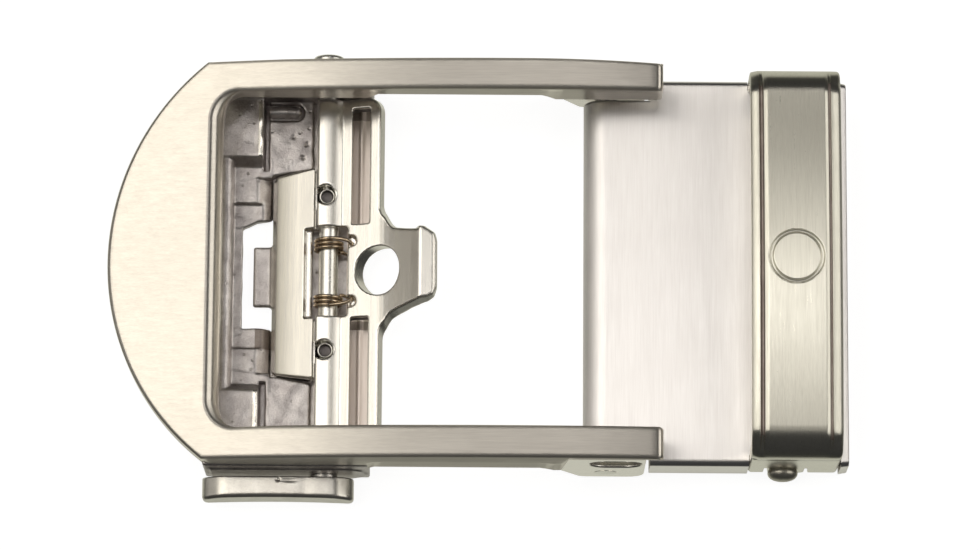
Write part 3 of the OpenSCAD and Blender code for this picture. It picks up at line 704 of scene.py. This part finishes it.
def base_finish(x, y, z):
    """Rough as cast, but with a painted highlight of the lighter satin finish on the blocks' right edges,
    the sill's smoother finish with painted light, and painted shade on the sill under the slots' ends and
    on a low strip beside the lower ledge
    """
    right = BLOCK_RIGHT[0] if y > 0 else BLOCK_RIGHT[1]
    # Painted highlight: the blocks' right edges take the lighter satin finish
    if right - 0.62 < x < right and z > 3.0 and 12 < abs(y) < 19:
        return SATIN
    # Painted shade on a low strip beside the lower ledge
    if -24.3 < x < -22.6 and -7.9 < y < -5.6 and z < 1.2:
        return PAINTED_SHADE
    # Painted light on the sill, with painted shade under the slots' ends
    if x > -14.6 and z < 1.2 and abs(y) < 19:
        return PAINTED_SHADE if y > 17.5 or -5.65 < y < -4.7 else SILL
    return ROUGH


def build_base():
    low, high = (-30, -22.6, -0.6), (-11.2, 22.6, 8.7)
    base = make_form("frame_base", base_field, low, high, 0.16, "frame", ROUGH, "frame_metal", "frame")
    paint_faces(base, base_finish, SILL, PAINTED_SHADE, SATIN)


build_base()


# The ears that hold the hinge pin, with a pocket in each outer face
EAR = {"right": 17.5, "low": 0.2, "inner": 19.2, "outer": 21.47}
EAR_PLAN = [(6.8, 11.2), (6.8, 7.1), (10.4, 0.6), (11.2, 0.2), (17.5, 0.2), (17.5, 11.2)]
EAR_POCKET = {"x": 14.35, "z": 8.0, "half": 0.85, "radius": 1.9, "bottom": 20.6}


def ear_field(x, y, z):
    side = np.abs(y)
    round_end = overlap(1.8, x - EAR["right"], EAR["low"] - z)
    body = np.maximum(outline(x, z, EAR_PLAN), round_end)
    body = overlap(0.22, body, slab(side, EAR["inner"], EAR["outer"]))
    past_middle = np.maximum(np.abs(x - EAR_POCKET["x"]) - EAR_POCKET["half"], 0)
    rim = np.hypot(past_middle, z - EAR_POCKET["z"]) - EAR_POCKET["radius"]
    body = carve(0.18, body, overlap(0.25, rim, EAR_POCKET["bottom"] - side))
    return np.maximum(body, z - 11.1)


def build_ears():
    for name, low, high in (("frame_ear_upper", 18.9, 21.9), ("frame_ear_lower", -21.9, -18.9)):
        corners = (6.4, low, -0.1), (18.0, high, 11.5)
        make_form(name, ear_field, *corners, 0.13, "frame", SATIN, "frame_metal", "frame")


build_ears()


# The pawl: a barrel with a wing and a slotted plate, and a tooth that curls up from it
PAWL_HALF = 18.95
PLATE_TOP = [(-16.65, 2.75), (-15.45, 3.89), (-10.9, 5.55), (-10.4, 5.78), (-9.9, 6.08), (-9.3, 6.52),
             (-8.4, 7.27), (-7.5, 8.06), (-6.72, 8.86), (-6.5, 8.96), (-5.1, 8.80), (-4.68, 8.5)]
PLATE_UNDER = [(-4.68, 7.8), (-5.0, 7.55), (-6.3, 7.1), (-7.1, 6.5), (-7.9, 5.65), (-9.0, 4.6), (-9.9, 4.0),
               (-10.7, 3.6), (-12.95, 2.88), (-15.45, 1.97)]
TOOTH_PLAN = [(-14, 5.6), (-10.5, 5.45), (-9.86, 4.72), (-9.37, 4.3), (-8.06, 3.98), (-6.75, 3.72),
              (-6.6, 4.0), (-6.2, 3.98), (-5.1, 3.3), (-4.76, 2.5), (-4.7, -2.44), (-5.14, -3.3),
              (-5.7, -3.6), (-6.68, -3.78), (-8.94, -4.5), (-9.75, -4.88), (-10.5, -5.6), (-14, -5.8)]
TOOTH_HOLE = {"x": -11.33, "y": -0.12, "z": 6, "radius": 2.66, "lean": 30}
SLOT = ((-14.0, -12.05), (5.1, 17.85))
NOTCH = {"half": 4.9, "along": (-18.25, -14.35), "floor": 1.2, "step_along": (-19.05, -17.6), "step": 2.35}
DIMPLE = {"x": -14.0, "y": 3.3, "radius": 0.6, "floor": 3.7, "recess": 3.2, "recess_along": (-15, -14.05)}
WING = [(-18.02, 1.25), (-18.02, 3.34), (-21.75, 1.80), (-22.1, 1.64), (-22.55, 1.0), (-22.55, 0.35)]

# The roll pins' places, upper and lower, and those of their mouths in the barrel
PIN_X = AXLE[0] + 0.02
PIN_SIDES = (8.22, 8.64)
MOUTH_X = AXLE[0] - 0.2
MOUTH_SIDES = (8.4, 8.6)


def pawl_body(x, y, side, z):
    """The barrel, the plate with its tooth, the wing and the tail, joined by fillets"""
    ax, az = AXLE
    barrel = np.hypot(x - ax, z - az + 1.45) - 3.2
    barrel = overlap(0.22, barrel, -17.72 - x, 1.15 - z, x + 15.1, side - PAWL_HALF)
    plan = join(1.5, overlap(1.5, x + 10.94, side - PAWL_HALF), outline(x, y, TOOTH_PLAN))
    slant = 0.24 * np.clip(height_along(x, PLATE_TOP) - z, 0, 3)
    plate = overlap(0.16, outline(x, z, PLATE_TOP + PLATE_UNDER), (plan - slant) * 0.97, side - PAWL_HALF)
    corner = beyond(-x, 21.9, 0.65)
    wing_end = 10.87 + (x + 22.55) * 0.17 - 0.4 * corner * corner
    wing = overlap(0.3, outline(x, z, WING), side - wing_end)
    web = overlap(0.1, slab(x, -18.3, -16.6), slab(z, 1.35, 2.1), side - 11.4)
    tail = block((x, side, z), (-24.6, -4, 0.2), (-21, 3.3, 0.85), 0.25)
    whole = join(0.3, barrel, plate, web)
    whole = join(0.06, whole, wing)
    return join(0.5, whole, tail)


def pawl_field(x, y, z):
    side = np.abs(y)
    slots = overlap(0.25, slab(x, *SLOT[0]), slab(side, *SLOT[1]), -z)
    notch = overlap(0.3, slab(x, *NOTCH["along"]), side - NOTCH["half"], NOTCH["floor"] - z)
    step = overlap(0.25, slab(x, *NOTCH["step_along"]), side - NOTCH["half"], NOTCH["step"] - z)
    off_dimple = np.abs(side - DIMPLE["y"]) - DIMPLE["radius"]
    recess = overlap(0.1, slab(x, *DIMPLE["recess_along"]), off_dimple, DIMPLE["recess"] - z)
    off_dimple = np.hypot(x - DIMPLE["x"], side - DIMPLE["y"]) - DIMPLE["radius"]
    dimple = overlap(0.1, off_dimple, DIMPLE["floor"] - z)
    bore = np.hypot(x - AXLE[0], z - AXLE[1]) - 1.22
    sleeve = np.hypot(x - PIN_X, side - np.where(y > 0, *PIN_SIDES)) - 0.86
    mouth = overlap(0.05, np.hypot(x - MOUTH_X, side - np.where(y > 0, *MOUTH_SIDES)) - 1.04, 3.3 - z)
    lean = math.radians(TOOTH_HOLE["lean"])
    dx, dy, dz = x - TOOTH_HOLE["x"], y - TOOTH_HOLE["y"], z - TOOTH_HOLE["z"]
    along = -math.sin(lean) * dx + math.cos(lean) * dz
    hole = np.sqrt(np.maximum(dx ** 2 + dy ** 2 + dz ** 2 - along ** 2, 0)) - TOOTH_HOLE["radius"]
    body = pawl_body(x, y, side, z)
    return carve(0.12, body, slots, notch, step, recess, dimple, mouth, sleeve, hole, bore)


def pawl_finish(x, y, z):
    """Satin, but with painted shade in the roll pins' mouths and on the slots' upper ends, and rough on the
    tail
    """
    mouth_y = MOUTH_SIDES[0] if y > 0 else MOUTH_SIDES[1]
    in_mouth = math.hypot(x - MOUTH_X, abs(y) - mouth_y) < 0.99 and z < 4.1
    upper_end = 17.7 < y < 17.95 or -5.2 < y < -4.95
    # Painted shade in the mouths and on the slots' upper ends
    if in_mouth or (-13.95 < x < -12.1 and upper_end and z < 4.4 + (x + 13) * 0.36):
        return PAINTED_DEEP_SHADE
    return ROUGH if x < -22.6 and z < 0.95 else SATIN


def build_pawl():
    low, high = (-25, -19.3, -0.1), (-3.9, 19.3, 9.3)
    casting = make_form("pawl_casting", pawl_field, low, high, 0.14, "pawl", SATIN, "pawl_metal", "pawl")
    paint_faces(casting, pawl_finish, PAINTED_DEEP_SHADE, ROUGH)


build_pawl()


# Roll pins: thin tubes sunk in the barrel, a little off the middle of their mouths, each closed just below
# its rim by a flat plug, with painted shade inside the tube and on the plug
def build_roll_pins():
    profile = [(0.83, 1.2), (0.83, 4.02), (0.81, 4.1), (0.74, 4.15), (0.67, 4.1), (0.65, 4.02),
               (0.64, 3.55), (0.5, 3.5), (0.25, 3.48), (0.02, 3.47)]
    for end, pin_y in (("upper", PIN_SIDES[0]), ("lower", -PIN_SIDES[1])):
        points, faces = turned(PIN_X, pin_y, profile, 40)
        name, node = "roll_pin_tube_" + end, "roll_pin_" + end
        tube = make_piece(name, points, faces, "pawl", PIN, "pin_steel", node)

        # Painted shade inside the tube and on its plug
        def tube_finish(x, y, z, pin_y=pin_y):
            return PAINTED_DEEP_SHADE if math.hypot(x - PIN_X, y - pin_y) < 0.66 and z < 4.0 else PIN

        paint_faces(tube, tube_finish, PAINTED_DEEP_SHADE)


build_roll_pins()


# The axle: a plain shaft with a domed head and a shoulder by the lever. It is slimmer in the roll pins, and
# in the notch, where it also lies a little to the right
def build_axle():
    shaft, pinned, notched, notch_shift = 1.2, 0.6, 1.04, 0.2
    rows = [(-23.9, shaft), (-22.4, shaft), (-22.38, 1.5), (-22.08, 1.5), (-22.06, shaft), (-9.9, shaft),
            (-9.88, pinned), (-7.4, pinned), (-7.38, shaft), (-5.0, shaft), (-4.98, notched, notch_shift),
            (4.98, notched, notch_shift), (5.0, shaft), (6.98, shaft), (7.0, pinned), (9.48, pinned),
            (9.5, shaft), (22.18, shaft), (22.2, 1.6), (22.25, 1.68)]
    rows += [(23.6 + dy, 1.3 + dr) for dr, dy in arc(0, 0, 0.4, 0, 90, 6)]
    rows.append((24.0, 0.05))
    points, faces = rod(*AXLE, rows, 56)
    make_piece("axle_shaft", points, faces, "pawl", SHAFT, "pin_steel", "axle", crease=40)


build_axle()


# Springs: three turns of round wire, a short leg to the pawl and a long one to the sill
def wire(path, radius, sides):
    path = np.array(path, float)
    ahead = np.gradient(path, axis=0)
    ahead /= np.linalg.norm(ahead, axis=1)[:, None]
    up = np.cross(ahead, [0, 1, 0])
    up /= np.linalg.norm(up, axis=1)[:, None]
    over = np.cross(ahead, up)
    turn = np.linspace(0, 2 * math.pi, sides, endpoint=False)
    return loft([[tuple(p + radius * (math.cos(a) * u + math.sin(a) * o)) for a in turn]
                 for p, u, o in zip(path, up, over)])


def smooth_path(knots, steps):
    """A rounded path through knots"""
    knots = [np.array(k, float) for k in knots]
    ends = [2 * knots[0] - knots[1]] + knots + [2 * knots[-1] - knots[-2]]
    path = []
    for a, b, c, d in zip(ends, ends[1:], ends[2:], ends[3:]):
        for i in range(steps):
            t = i / steps
            square = (2 * a - 5 * b + 4 * c - d) * t * t
            cube = (3 * b - a - 3 * c + d) * t ** 3
            path.append(0.5 * (2 * b + (c - a) * t + square + cube))
    return path + [knots[-1]]


def build_spring(name, node, side):
    ax, az = AXLE
    coil_r, wire_r, pitch, start_y, off_axle = 1.42, 0.2, 0.46, 3.65, 0.25
    coils, knots_a_coil = 3, 20
    knots = [(2.65, -0.75, 1.4), (1.85, -0.2, 1.5)]
    for i in range((coils * knots_a_coil) - 3):
        a = math.radians(75) + 2 * math.pi * i / knots_a_coil
        knots.append((coil_r * math.cos(a), -pitch * i / knots_a_coil, coil_r * math.sin(a)))
    knots.append((2.3, -coils * pitch, 0.8 - az))
    path = smooth_path([(ax + off_axle + x, side * (start_y + y), az + z) for x, y, z in knots], 3)
    points, faces = wire(path, wire_r, 10)
    if side < 0:
        faces = inside_out(faces)
    spring = make_piece(name, points, faces, None, WIRE, "spring_steel", node)
    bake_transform(spring)


build_spring("spring_wire_upper", "spring_upper", 1)
build_spring("spring_wire_lower", "spring_lower", -1)


# The clamp: a folded box, open below and at its right end, with a round nose between the frame's ears
CLAMP_BOX = {"nose": 2.4, "narrow": 18.85, "low": 0.6, "wide_x": 18.05, "end_x": 39.2, "half": 21.1,
             "top": 5.4, "inside": 19.2, "ceiling": 4.1, "edge": 0.68, "end_edge": 0.3}

# The keeper's seat, where the clamp's sides are cut back: from and to along X, and half its width
SEAT = (28.55, 38.3, 19.93)


def clamp_ring(x, sink, limit):
    """One section of the clamp's wide part across the strap, sunk at its ends and cut back to a limit"""
    inside, ceiling, edge = (CLAMP_BOX[key] for key in ("inside", "ceiling", "edge"))
    half = CLAMP_BOX["half"] - sink * 0.5
    top = CLAMP_BOX["top"] - sink
    right = [(inside, 0.02), (inside + 0.2, 0.0)]
    right += arc(half - 0.8, 0.8, 0.8, -90, 0, 6)
    right += arc(half - 0.05 - edge, top - edge, edge, 0, 90, 10)
    right += [(half - edge - 0.15, top), (half - edge - 0.4, top), (10, top)]
    outer = right + [(-y, z) for y, z in reversed(right)]
    outer = [(max(-limit, min(limit, y)), z) for y, z in outer]
    hollow = [(-inside, ceiling - 0.3), (0.3 - inside, ceiling)]
    hollow += [(-y, z) for y, z in reversed(hollow)]
    return [(x, y, z) for y, z in outer + hollow]


def clamp_nose_ring(y, sink):
    """One section of the nose along the strap: round in front of the hinge and square behind it"""
    wide_x = CLAMP_BOX["wide_x"]
    low = CLAMP_BOX["low"] + sink
    top = CLAMP_BOX["top"] - sink
    ring = arc(*HINGE, CLAMP_BOX["nose"] - sink, 90, 270, 40)
    ring += [(13.6, low), (wide_x, low), (wide_x, top), (17.9, top), (14.0, top), (13.6, top)]
    return [(x, y, z) for x, z in ring]


def build_clamp():
    wide_x, end_x, narrow, edge = (CLAMP_BOX[key] for key in ("wide_x", "end_x", "narrow", "end_edge"))
    start, stop, cut = SEAT
    full = 99
    rows = [(wide_x + 0.02 * i, 0.0, full) for i in range(6)]
    rows += [(x, 0.0, full) for x in (wide_x + 0.3, 22, start - 0.3, start - 0.02, start)]
    rows += [(x, 0.0, cut) for x in (start, start + 0.02, 33, stop - 0.02, stop)]
    rows += [(x, sink, full) for x, sink in ((stop, 0.0), (stop + 0.02, 0.01), (38.6, 0.10), (38.88, 0.20))]
    rows += [(x, 0.21 + sink, full) for sink, x in arc(edge, end_x - edge, edge, 180, 90, 7)]
    points, faces = loft([clamp_ring(*row) for row in rows])
    make_piece("clamp_box", points, faces, "clamp", CLAMP, "clamp_metal", "clamp_body", crease=40)

    rows = [(y, sink) for sink, y in arc(edge, edge - narrow, edge, 270, 180, 5)]
    rows += [(edge - narrow + 0.1, 0.0), (-9.0, 0.0)]
    rows += [(-y, sink) for y, sink in reversed(rows)]
    points, faces = loft([clamp_nose_ring(*row) for row in rows])
    faces = inside_out(faces)
    make_piece("clamp_nose", points, faces, "clamp", CLAMP, "clamp_metal", "clamp_body", crease=40)


build_clamp()


# The keeper: an arched band with a raised panel between two rims, and a plain ring sunk in the panel
KEEPER_BAND = {"x0": 28.56, "x1": 38.19, "half_upper": 21.24, "half_lower": 21.0, "top": 12.84,
               "arch": 230.0, "bend": 3.4, "thick": 1.6, "leg_top": 7.95, "edge": 0.45, "crown": 0.06}
RIM_LEFT = [(28.56, -0.86), (28.6, -0.78), (28.68, -0.71), (29.38, -0.45), (29.44, -0.46)]
GROOVE_LEFT = [(29.48, -0.60), (29.52, -0.66), (29.66, -0.68), (29.80, -0.66), (29.84, -0.60)]
STEP_LEFT = [(29.88, -0.22), (29.94, -0.19), (30.22, -0.085), (30.30, -0.06)]
STEP_RIGHT = [(36.40, -0.06), (36.48, -0.085), (36.72, -0.19), (36.76, -0.22)]
GROOVE_RIGHT = [(36.78, -0.42), (36.82, -0.48), (36.92, -0.50), (37.02, -0.48), (37.06, -0.44)]
RIM_RIGHT = [(37.08, -0.36), (37.14, -0.36), (37.84, -0.66), (37.96, -0.76), (38.08, -0.92), (38.14, -1.05)]
KEEPER_FOOT = [(28.56, 9.0), (28.56, 1.0), (28.86, 0.7), (30.3, 0.7), (30.3, 3.1), (30.7, 3.1), (30.7, 0.9),
               (31.3, 0.3), (34.0, 0.3), (34.6, 0.9), (34.6, 3.1), (35.0, 3.1), (35.0, 0.7), (37.9, 0.7),
               (38.2, 1.0), (38.2, 9.0)]
RING = {"x": 33.32, "y": 0.18, "radius": 2.72, "groove": 0.23, "opening": 2.98, "cover": 3.1}


def keeper_stations():
    """Places along the band's outside, from the lower leg to the upper one: Y, Z and the outside's lean"""
    k = KEEPER_BAND
    reach = k["arch"] - k["bend"]
    arch_z = k["top"] - k["arch"]
    halves = []
    for sign, half in ((-1, k["half_lower"]), (1, k["half_upper"])):
        bend_y = half - k["bend"]
        start = math.asin(bend_y / reach)
        bend_z = arch_z + reach * math.cos(start)
        row = []
        for a in np.linspace(0, start, 150, endpoint=False):
            y = k["arch"] * math.sin(a)
            row.append((sign * y, arch_z + k["arch"] * math.cos(a), sign * a))
        for a in np.linspace(start, math.pi / 2, 30):
            y = bend_y + k["bend"] * math.sin(a)
            row.append((sign * y, bend_z + k["bend"] * math.cos(a), sign * a))
        row.append((sign * half, k["leg_top"], sign * math.pi / 2))
        halves.append(row)
    return halves[0][:0:-1] + halves[1]


def plain_depth(x):
    """How far a plain band with rounded edges lies below its crown"""
    edge = KEEPER_BAND["edge"]
    over = max(0.0, KEEPER_BAND["x0"] + edge - x, x - KEEPER_BAND["x1"] + edge)
    return math.sqrt(max(0.0, edge ** 2 - over * over)) - edge - KEEPER_BAND["crown"]


def keeper_ring(y, z, lean):
    """One closed section of the band; its rims and grooves fade out round the bends"""
    x0, x1, low = KEEPER_BAND["x0"], KEEPER_BAND["x1"], -KEEPER_BAND["thick"]
    fade = ease(share(math.degrees(abs(lean)), 32, 45))
    panel = [(x, -KEEPER_BAND["crown"]) for x in np.linspace(30.42, 36.28, 44)]
    crown = RIM_LEFT + GROOVE_LEFT + STEP_LEFT + panel + STEP_RIGHT + GROOVE_RIGHT + RIM_RIGHT
    crown.append((x1, -1.2))
    section = [(x, depth * (1 - fade) + plain_depth(x) * fade) for x, depth in crown]
    section += [(x1, low + 0.15), (x1 - 0.15, low), (x0 + 0.15, low), (x0, low + 0.15)]
    return [(x, y + out * math.sin(lean), z + out * math.cos(lean)) for x, out in section]


def keeper_leg_field(x, y, z):
    k = KEEPER_BAND
    side = np.abs(y)
    half = np.where(y > 0, k["half_upper"], k["half_lower"])
    out = side - half + 0.03 * beyond(z, k["leg_top"], 0.3)
    inside = 20.0 - np.clip(z - CLAMP_BOX["top"], 0, 0.6)
    leg = overlap(k["edge"], slab(x, k["x0"], k["x1"]), out + k["crown"])
    leg = overlap(0.1, np.maximum(leg, -k["thick"] - out), inside - side)
    leg = overlap(0.12, leg, outline(x, z, KEEPER_FOOT))
    leg = np.maximum(leg, z - 8.5)
    hole = np.hypot(x - RIVET_AXIS[0], z - RIVET_AXIS[1]) - 1.05
    return np.maximum(leg, -hole)


def from_ring(x, y):
    """Distance in plan from the ring's middle"""
    return np.hypot(x - RING["x"], y - RING["y"])


def ring_field(x, y, z):
    """The panel's crown with the plain ring sunk in it, a hair proud of the band round it"""
    k = KEEPER_BAND
    out = np.sqrt(y * y + (z - k["top"] + k["arch"]) ** 2) - k["arch"]
    crown = np.maximum(out + 0.056, -0.7 - out)
    groove = np.hypot(from_ring(x, y) - RING["radius"], out * 0.9) - RING["groove"]
    return carve(0.06, crown, groove)


def shell_finish(x, y, z):
    """Painted shade in the two grooves along the crown: a darker, duller finish"""
    in_groove = 29.44 < x < 29.86 or 36.77 < x < 37.07
    return PAINTED_SHADE if in_groove and z > 11.2 and abs(y) < 19.4 else KEEPER


def build_keeper():
    points, faces = loft([keeper_ring(*station) for station in keeper_stations()])
    points = np.array(points)
    quads, caps = np.array(faces[:-2]), faces[-2:]
    x, y, z = points[quads].mean(1).T
    opening = (from_ring(x, y) < RING["opening"]) & (z > 12.3)
    faces = quads[~opening].tolist() + caps
    shell = make_piece("keeper_shell", points, faces, "clamp", KEEPER, "keeper_metal", "keeper_band")
    paint_faces(shell, shell_finish, PAINTED_SHADE)

    for name, low, high in (("keeper_leg_upper", 19, 21.6), ("keeper_leg_lower", -21.4, -19)):
        corners = (28.2, low, 0.1), (38.6, high, 8.8)
        make_form(name, keeper_leg_field, *corners, 0.13, "clamp", KEEPER, "keeper_metal", "keeper_band")

    reach = RING["cover"] + 0.02
    low = (RING["x"] - reach, RING["y"] - reach, 12.3)
    high = (RING["x"] + reach, RING["y"] + reach, 13.0)
    points, faces = skin(ring_field, low, high, 0.055)
    x, y, z = points[faces].mean(1).T
    faces = faces[(from_ring(x, y) < RING["cover"]) & (z > 12.4)]
    make_piece("keeper_ring_panel", points, faces.tolist(), "clamp", KEEPER, "keeper_metal", "keeper_band")


build_keeper()


# Rivets: a shaft through the clamp's side and a low domed head on the keeper's lug
def build_rivets():
    rows = [(19.5, 1.0), (20.9, 1.0), (20.92, 1.5), (21.1, 1.6), (21.3, 1.62), (21.55, 1.55), (21.8, 1.35),
            (21.97, 1.05), (22.08, 0.7), (22.13, 0.35), (22.15, 0.05)]
    for end, sign in (("upper", 1), ("lower", -1)):
        points, faces = rod(*RIVET_AXIS, [(sign * y, r) for y, r in rows], 48)
        if sign < 0:
            faces = inside_out(faces)
        node = "keeper_rivet_" + end
        make_piece("rivet_" + end, points, faces, "clamp", RIVET, "pin_steel", node, crease=50)


build_rivets()


# The release lever: a small waisted paddle, cast and lightly polished
PADDLE = {"x0": -29.53, "x1": -13.42, "middle": -21.475, "half": 8.075, "low": 1.02, "top": 4.9,
          "front": -24.8, "waist": 0.17, "back": -22.4, "left_fall": -27.55, "right_fall": -14.95}


def lever_field(x, y, z):
    middle = (x - PADDLE["middle"]) / PADDLE["half"]
    front = PADDLE["front"] + PADDLE["waist"] * np.clip(1 - middle * middle, 0, 1)
    left_end = PADDLE["left_fall"] - x
    right_end = x - PADDLE["right_fall"]
    left_fall = 0.3 * (left_end + np.sqrt(left_end ** 2 + 0.3))
    right_fall = 0.4 * (right_end + np.sqrt(right_end ** 2 + 0.5))
    dip = 0.05 * np.exp(-((x + 18.6) / 0.7) ** 2)
    top = PADDLE["top"] - left_fall - right_fall - dip
    body = overlap(0.8, slab(x, PADDLE["x0"], PADDLE["x1"]), PADDLE["low"] - z, z - top)
    body = overlap(0.45, body, front - y)
    body = overlap(0.12, body, y - PADDLE["back"])
    pit = np.sqrt((x + 21.4) ** 2 + (y + 22.75) ** 2 + (z - 5.0) ** 2) - 0.26
    scar = np.sqrt(((x + 20.2) / 1.2) ** 2 + ((y + 22.85) / 0.3) ** 2 + ((z - 5.02) / 0.25) ** 2) - 0.8
    return carve(0.12, body, pit, scar * 0.25)


def build_lever():
    low, high = (-29.9, -25.2, 0.7), (-13.0, -22.1, 5.2)
    make_form("lever_paddle", lever_field, low, high, 0.1, "pawl", LEVER, "lever_metal", "release_lever")


build_lever()


# Studio: a pale floor, a dim sky and large soft lamps, as name, place in metres, size, glow and colour
LAMPS = (
    ("lamp_overhead", (-0.03, 0.148, 0.90), (0.44, 0.11), 1.50, (1.0, 0.97, 0.94)),
    ("lamp_overhead_wide", (-0.03, 0.165, 0.92), (0.44, 0.27), 0.66, (1.0, 0.97, 0.93)),
    ("lamp_overhead_front", (-0.03, 0.020, 0.94), (0.44, 0.14), 0.45, (1.0, 0.97, 0.93)),
    ("lamp_overhead_back", (0.06, 0.52, 0.80), (0.11, 0.30), 1.30, (1.0, 0.96, 0.93)),
    ("lamp_left_near", (-0.36, 0.15, 0.91), (0.30, 0.90), 1.80, (1.0, 0.96, 0.88)),
    ("lamp_left_far", (-0.62, 0.15, 0.76), (0.34, 0.90), 1.45, (1.0, 0.96, 0.88)),
    ("lamp_right", (0.80, 0.05, 0.60), (0.72, 0.90), 1.40, (1.0, 0.97, 0.91)),
    ("lamp_left", (-0.93, 0.0, 0.28), (0.44, 0.90), 0.38, (1.0, 0.96, 0.90)))


# The sky's brightness by height, from straight below to straight above
SKY = (
    (0.0, (0.60, 0.60, 0.52)), (0.17, (0.54, 0.54, 0.47)), (0.25, (0.38, 0.38, 0.33)),
    (0.31, (0.05, 0.05, 0.045)), (0.6, (0.04, 0.04, 0.04)), (1.0, (0.05, 0.05, 0.05)))


def add_lamp(name, place, size, glow, colour):
    """A rectangular lamp aimed at the buckle; glow is how bright its face looks"""
    data = bpy.data.lights.new(name, "AREA")
    data.shape = "RECTANGLE"
    data.size, data.size_y = size
    data.energy = glow * math.pi * size[0] * size[1]
    data.color = colour
    lamp = bpy.data.objects.new(name, data)
    back = Vector(place).normalized()
    across = Vector((1, 0, 0)) if abs(back.x) < 0.8 else Vector((0, 1, 0))
    up = back.cross(across).normalized()
    across = up.cross(back)
    turn = Matrix((across, up, back)).transposed().to_4x4()
    lamp.matrix_world = Matrix.Translation(Vector(place)) @ turn
    add_to_scene(lamp)


def build_floor():
    """A pale floor that gives back a soft light and isn't mirrored in the metal"""
    half = 1.2
    z = cad_box[0][2] - 0.00002
    mesh = bpy.data.meshes.new("floor")
    corners = [(-half, -half, z), (half, -half, z), (half, half, z), (-half, half, z)]
    mesh.from_pydata(corners, [], [(0, 1, 2, 3)])
    floor = bpy.data.objects.new("floor", mesh)
    add_to_scene(floor)
    material = bpy.data.materials.new("pale_floor")
    material.use_nodes = True
    shader = material.node_tree.nodes["Principled BSDF"]
    shader.inputs["Base Color"].default_value = (0.35, 0.35, 0.35, 1)
    shader.inputs["Roughness"].default_value = 0.9
    shader.inputs["Specular IOR Level"].default_value = 0.0
    shader.inputs["Emission Color"].default_value = (1, 1, 1, 1)
    shader.inputs["Emission Strength"].default_value = 0.9
    mesh.materials.append(material)
    floor.visible_glossy = False


def build_sky():
    """A sky that is bright below and dim above, tipped towards the front and a little to the right"""
    world = bpy.data.worlds.new("soft_sky")
    bpy.context.scene.world = world
    world.use_nodes = True
    tree = world.node_tree
    coords = tree.nodes.new("ShaderNodeTexCoord")
    split = tree.nodes.new("ShaderNodeSeparateXYZ")
    tree.links.new(coords.outputs["Generated"], split.inputs[0])
    tipped = maths(tree, "MULTIPLY_ADD", split.outputs["Y"], -0.45, split.outputs["Z"])
    right_side = maths(tree, "MAXIMUM", split.outputs["X"], 0.0)
    tipped = maths(tree, "MULTIPLY_ADD", right_side, 0.25, tipped)
    ramp = tree.nodes.new("ShaderNodeValToRGB")
    tree.links.new(maths(tree, "MULTIPLY_ADD", tipped, 0.45, 0.5), ramp.inputs["Fac"])
    steps = ramp.color_ramp.elements
    for place, colour in SKY[1:-1]:
        steps.new(place)
    for step, (place, colour) in zip(steps, SKY):
        step.position = place
        step.color = (*colour, 1)
    background = tree.nodes["Background"]
    tree.links.new(ramp.outputs["Color"], background.inputs["Color"])
    background.inputs["Strength"].default_value = 1.0


build_floor()
build_sky()
for lamp_row in LAMPS:
    add_lamp(*lamp_row)
bpy.context.scene.view_settings.view_transform = "Standard"
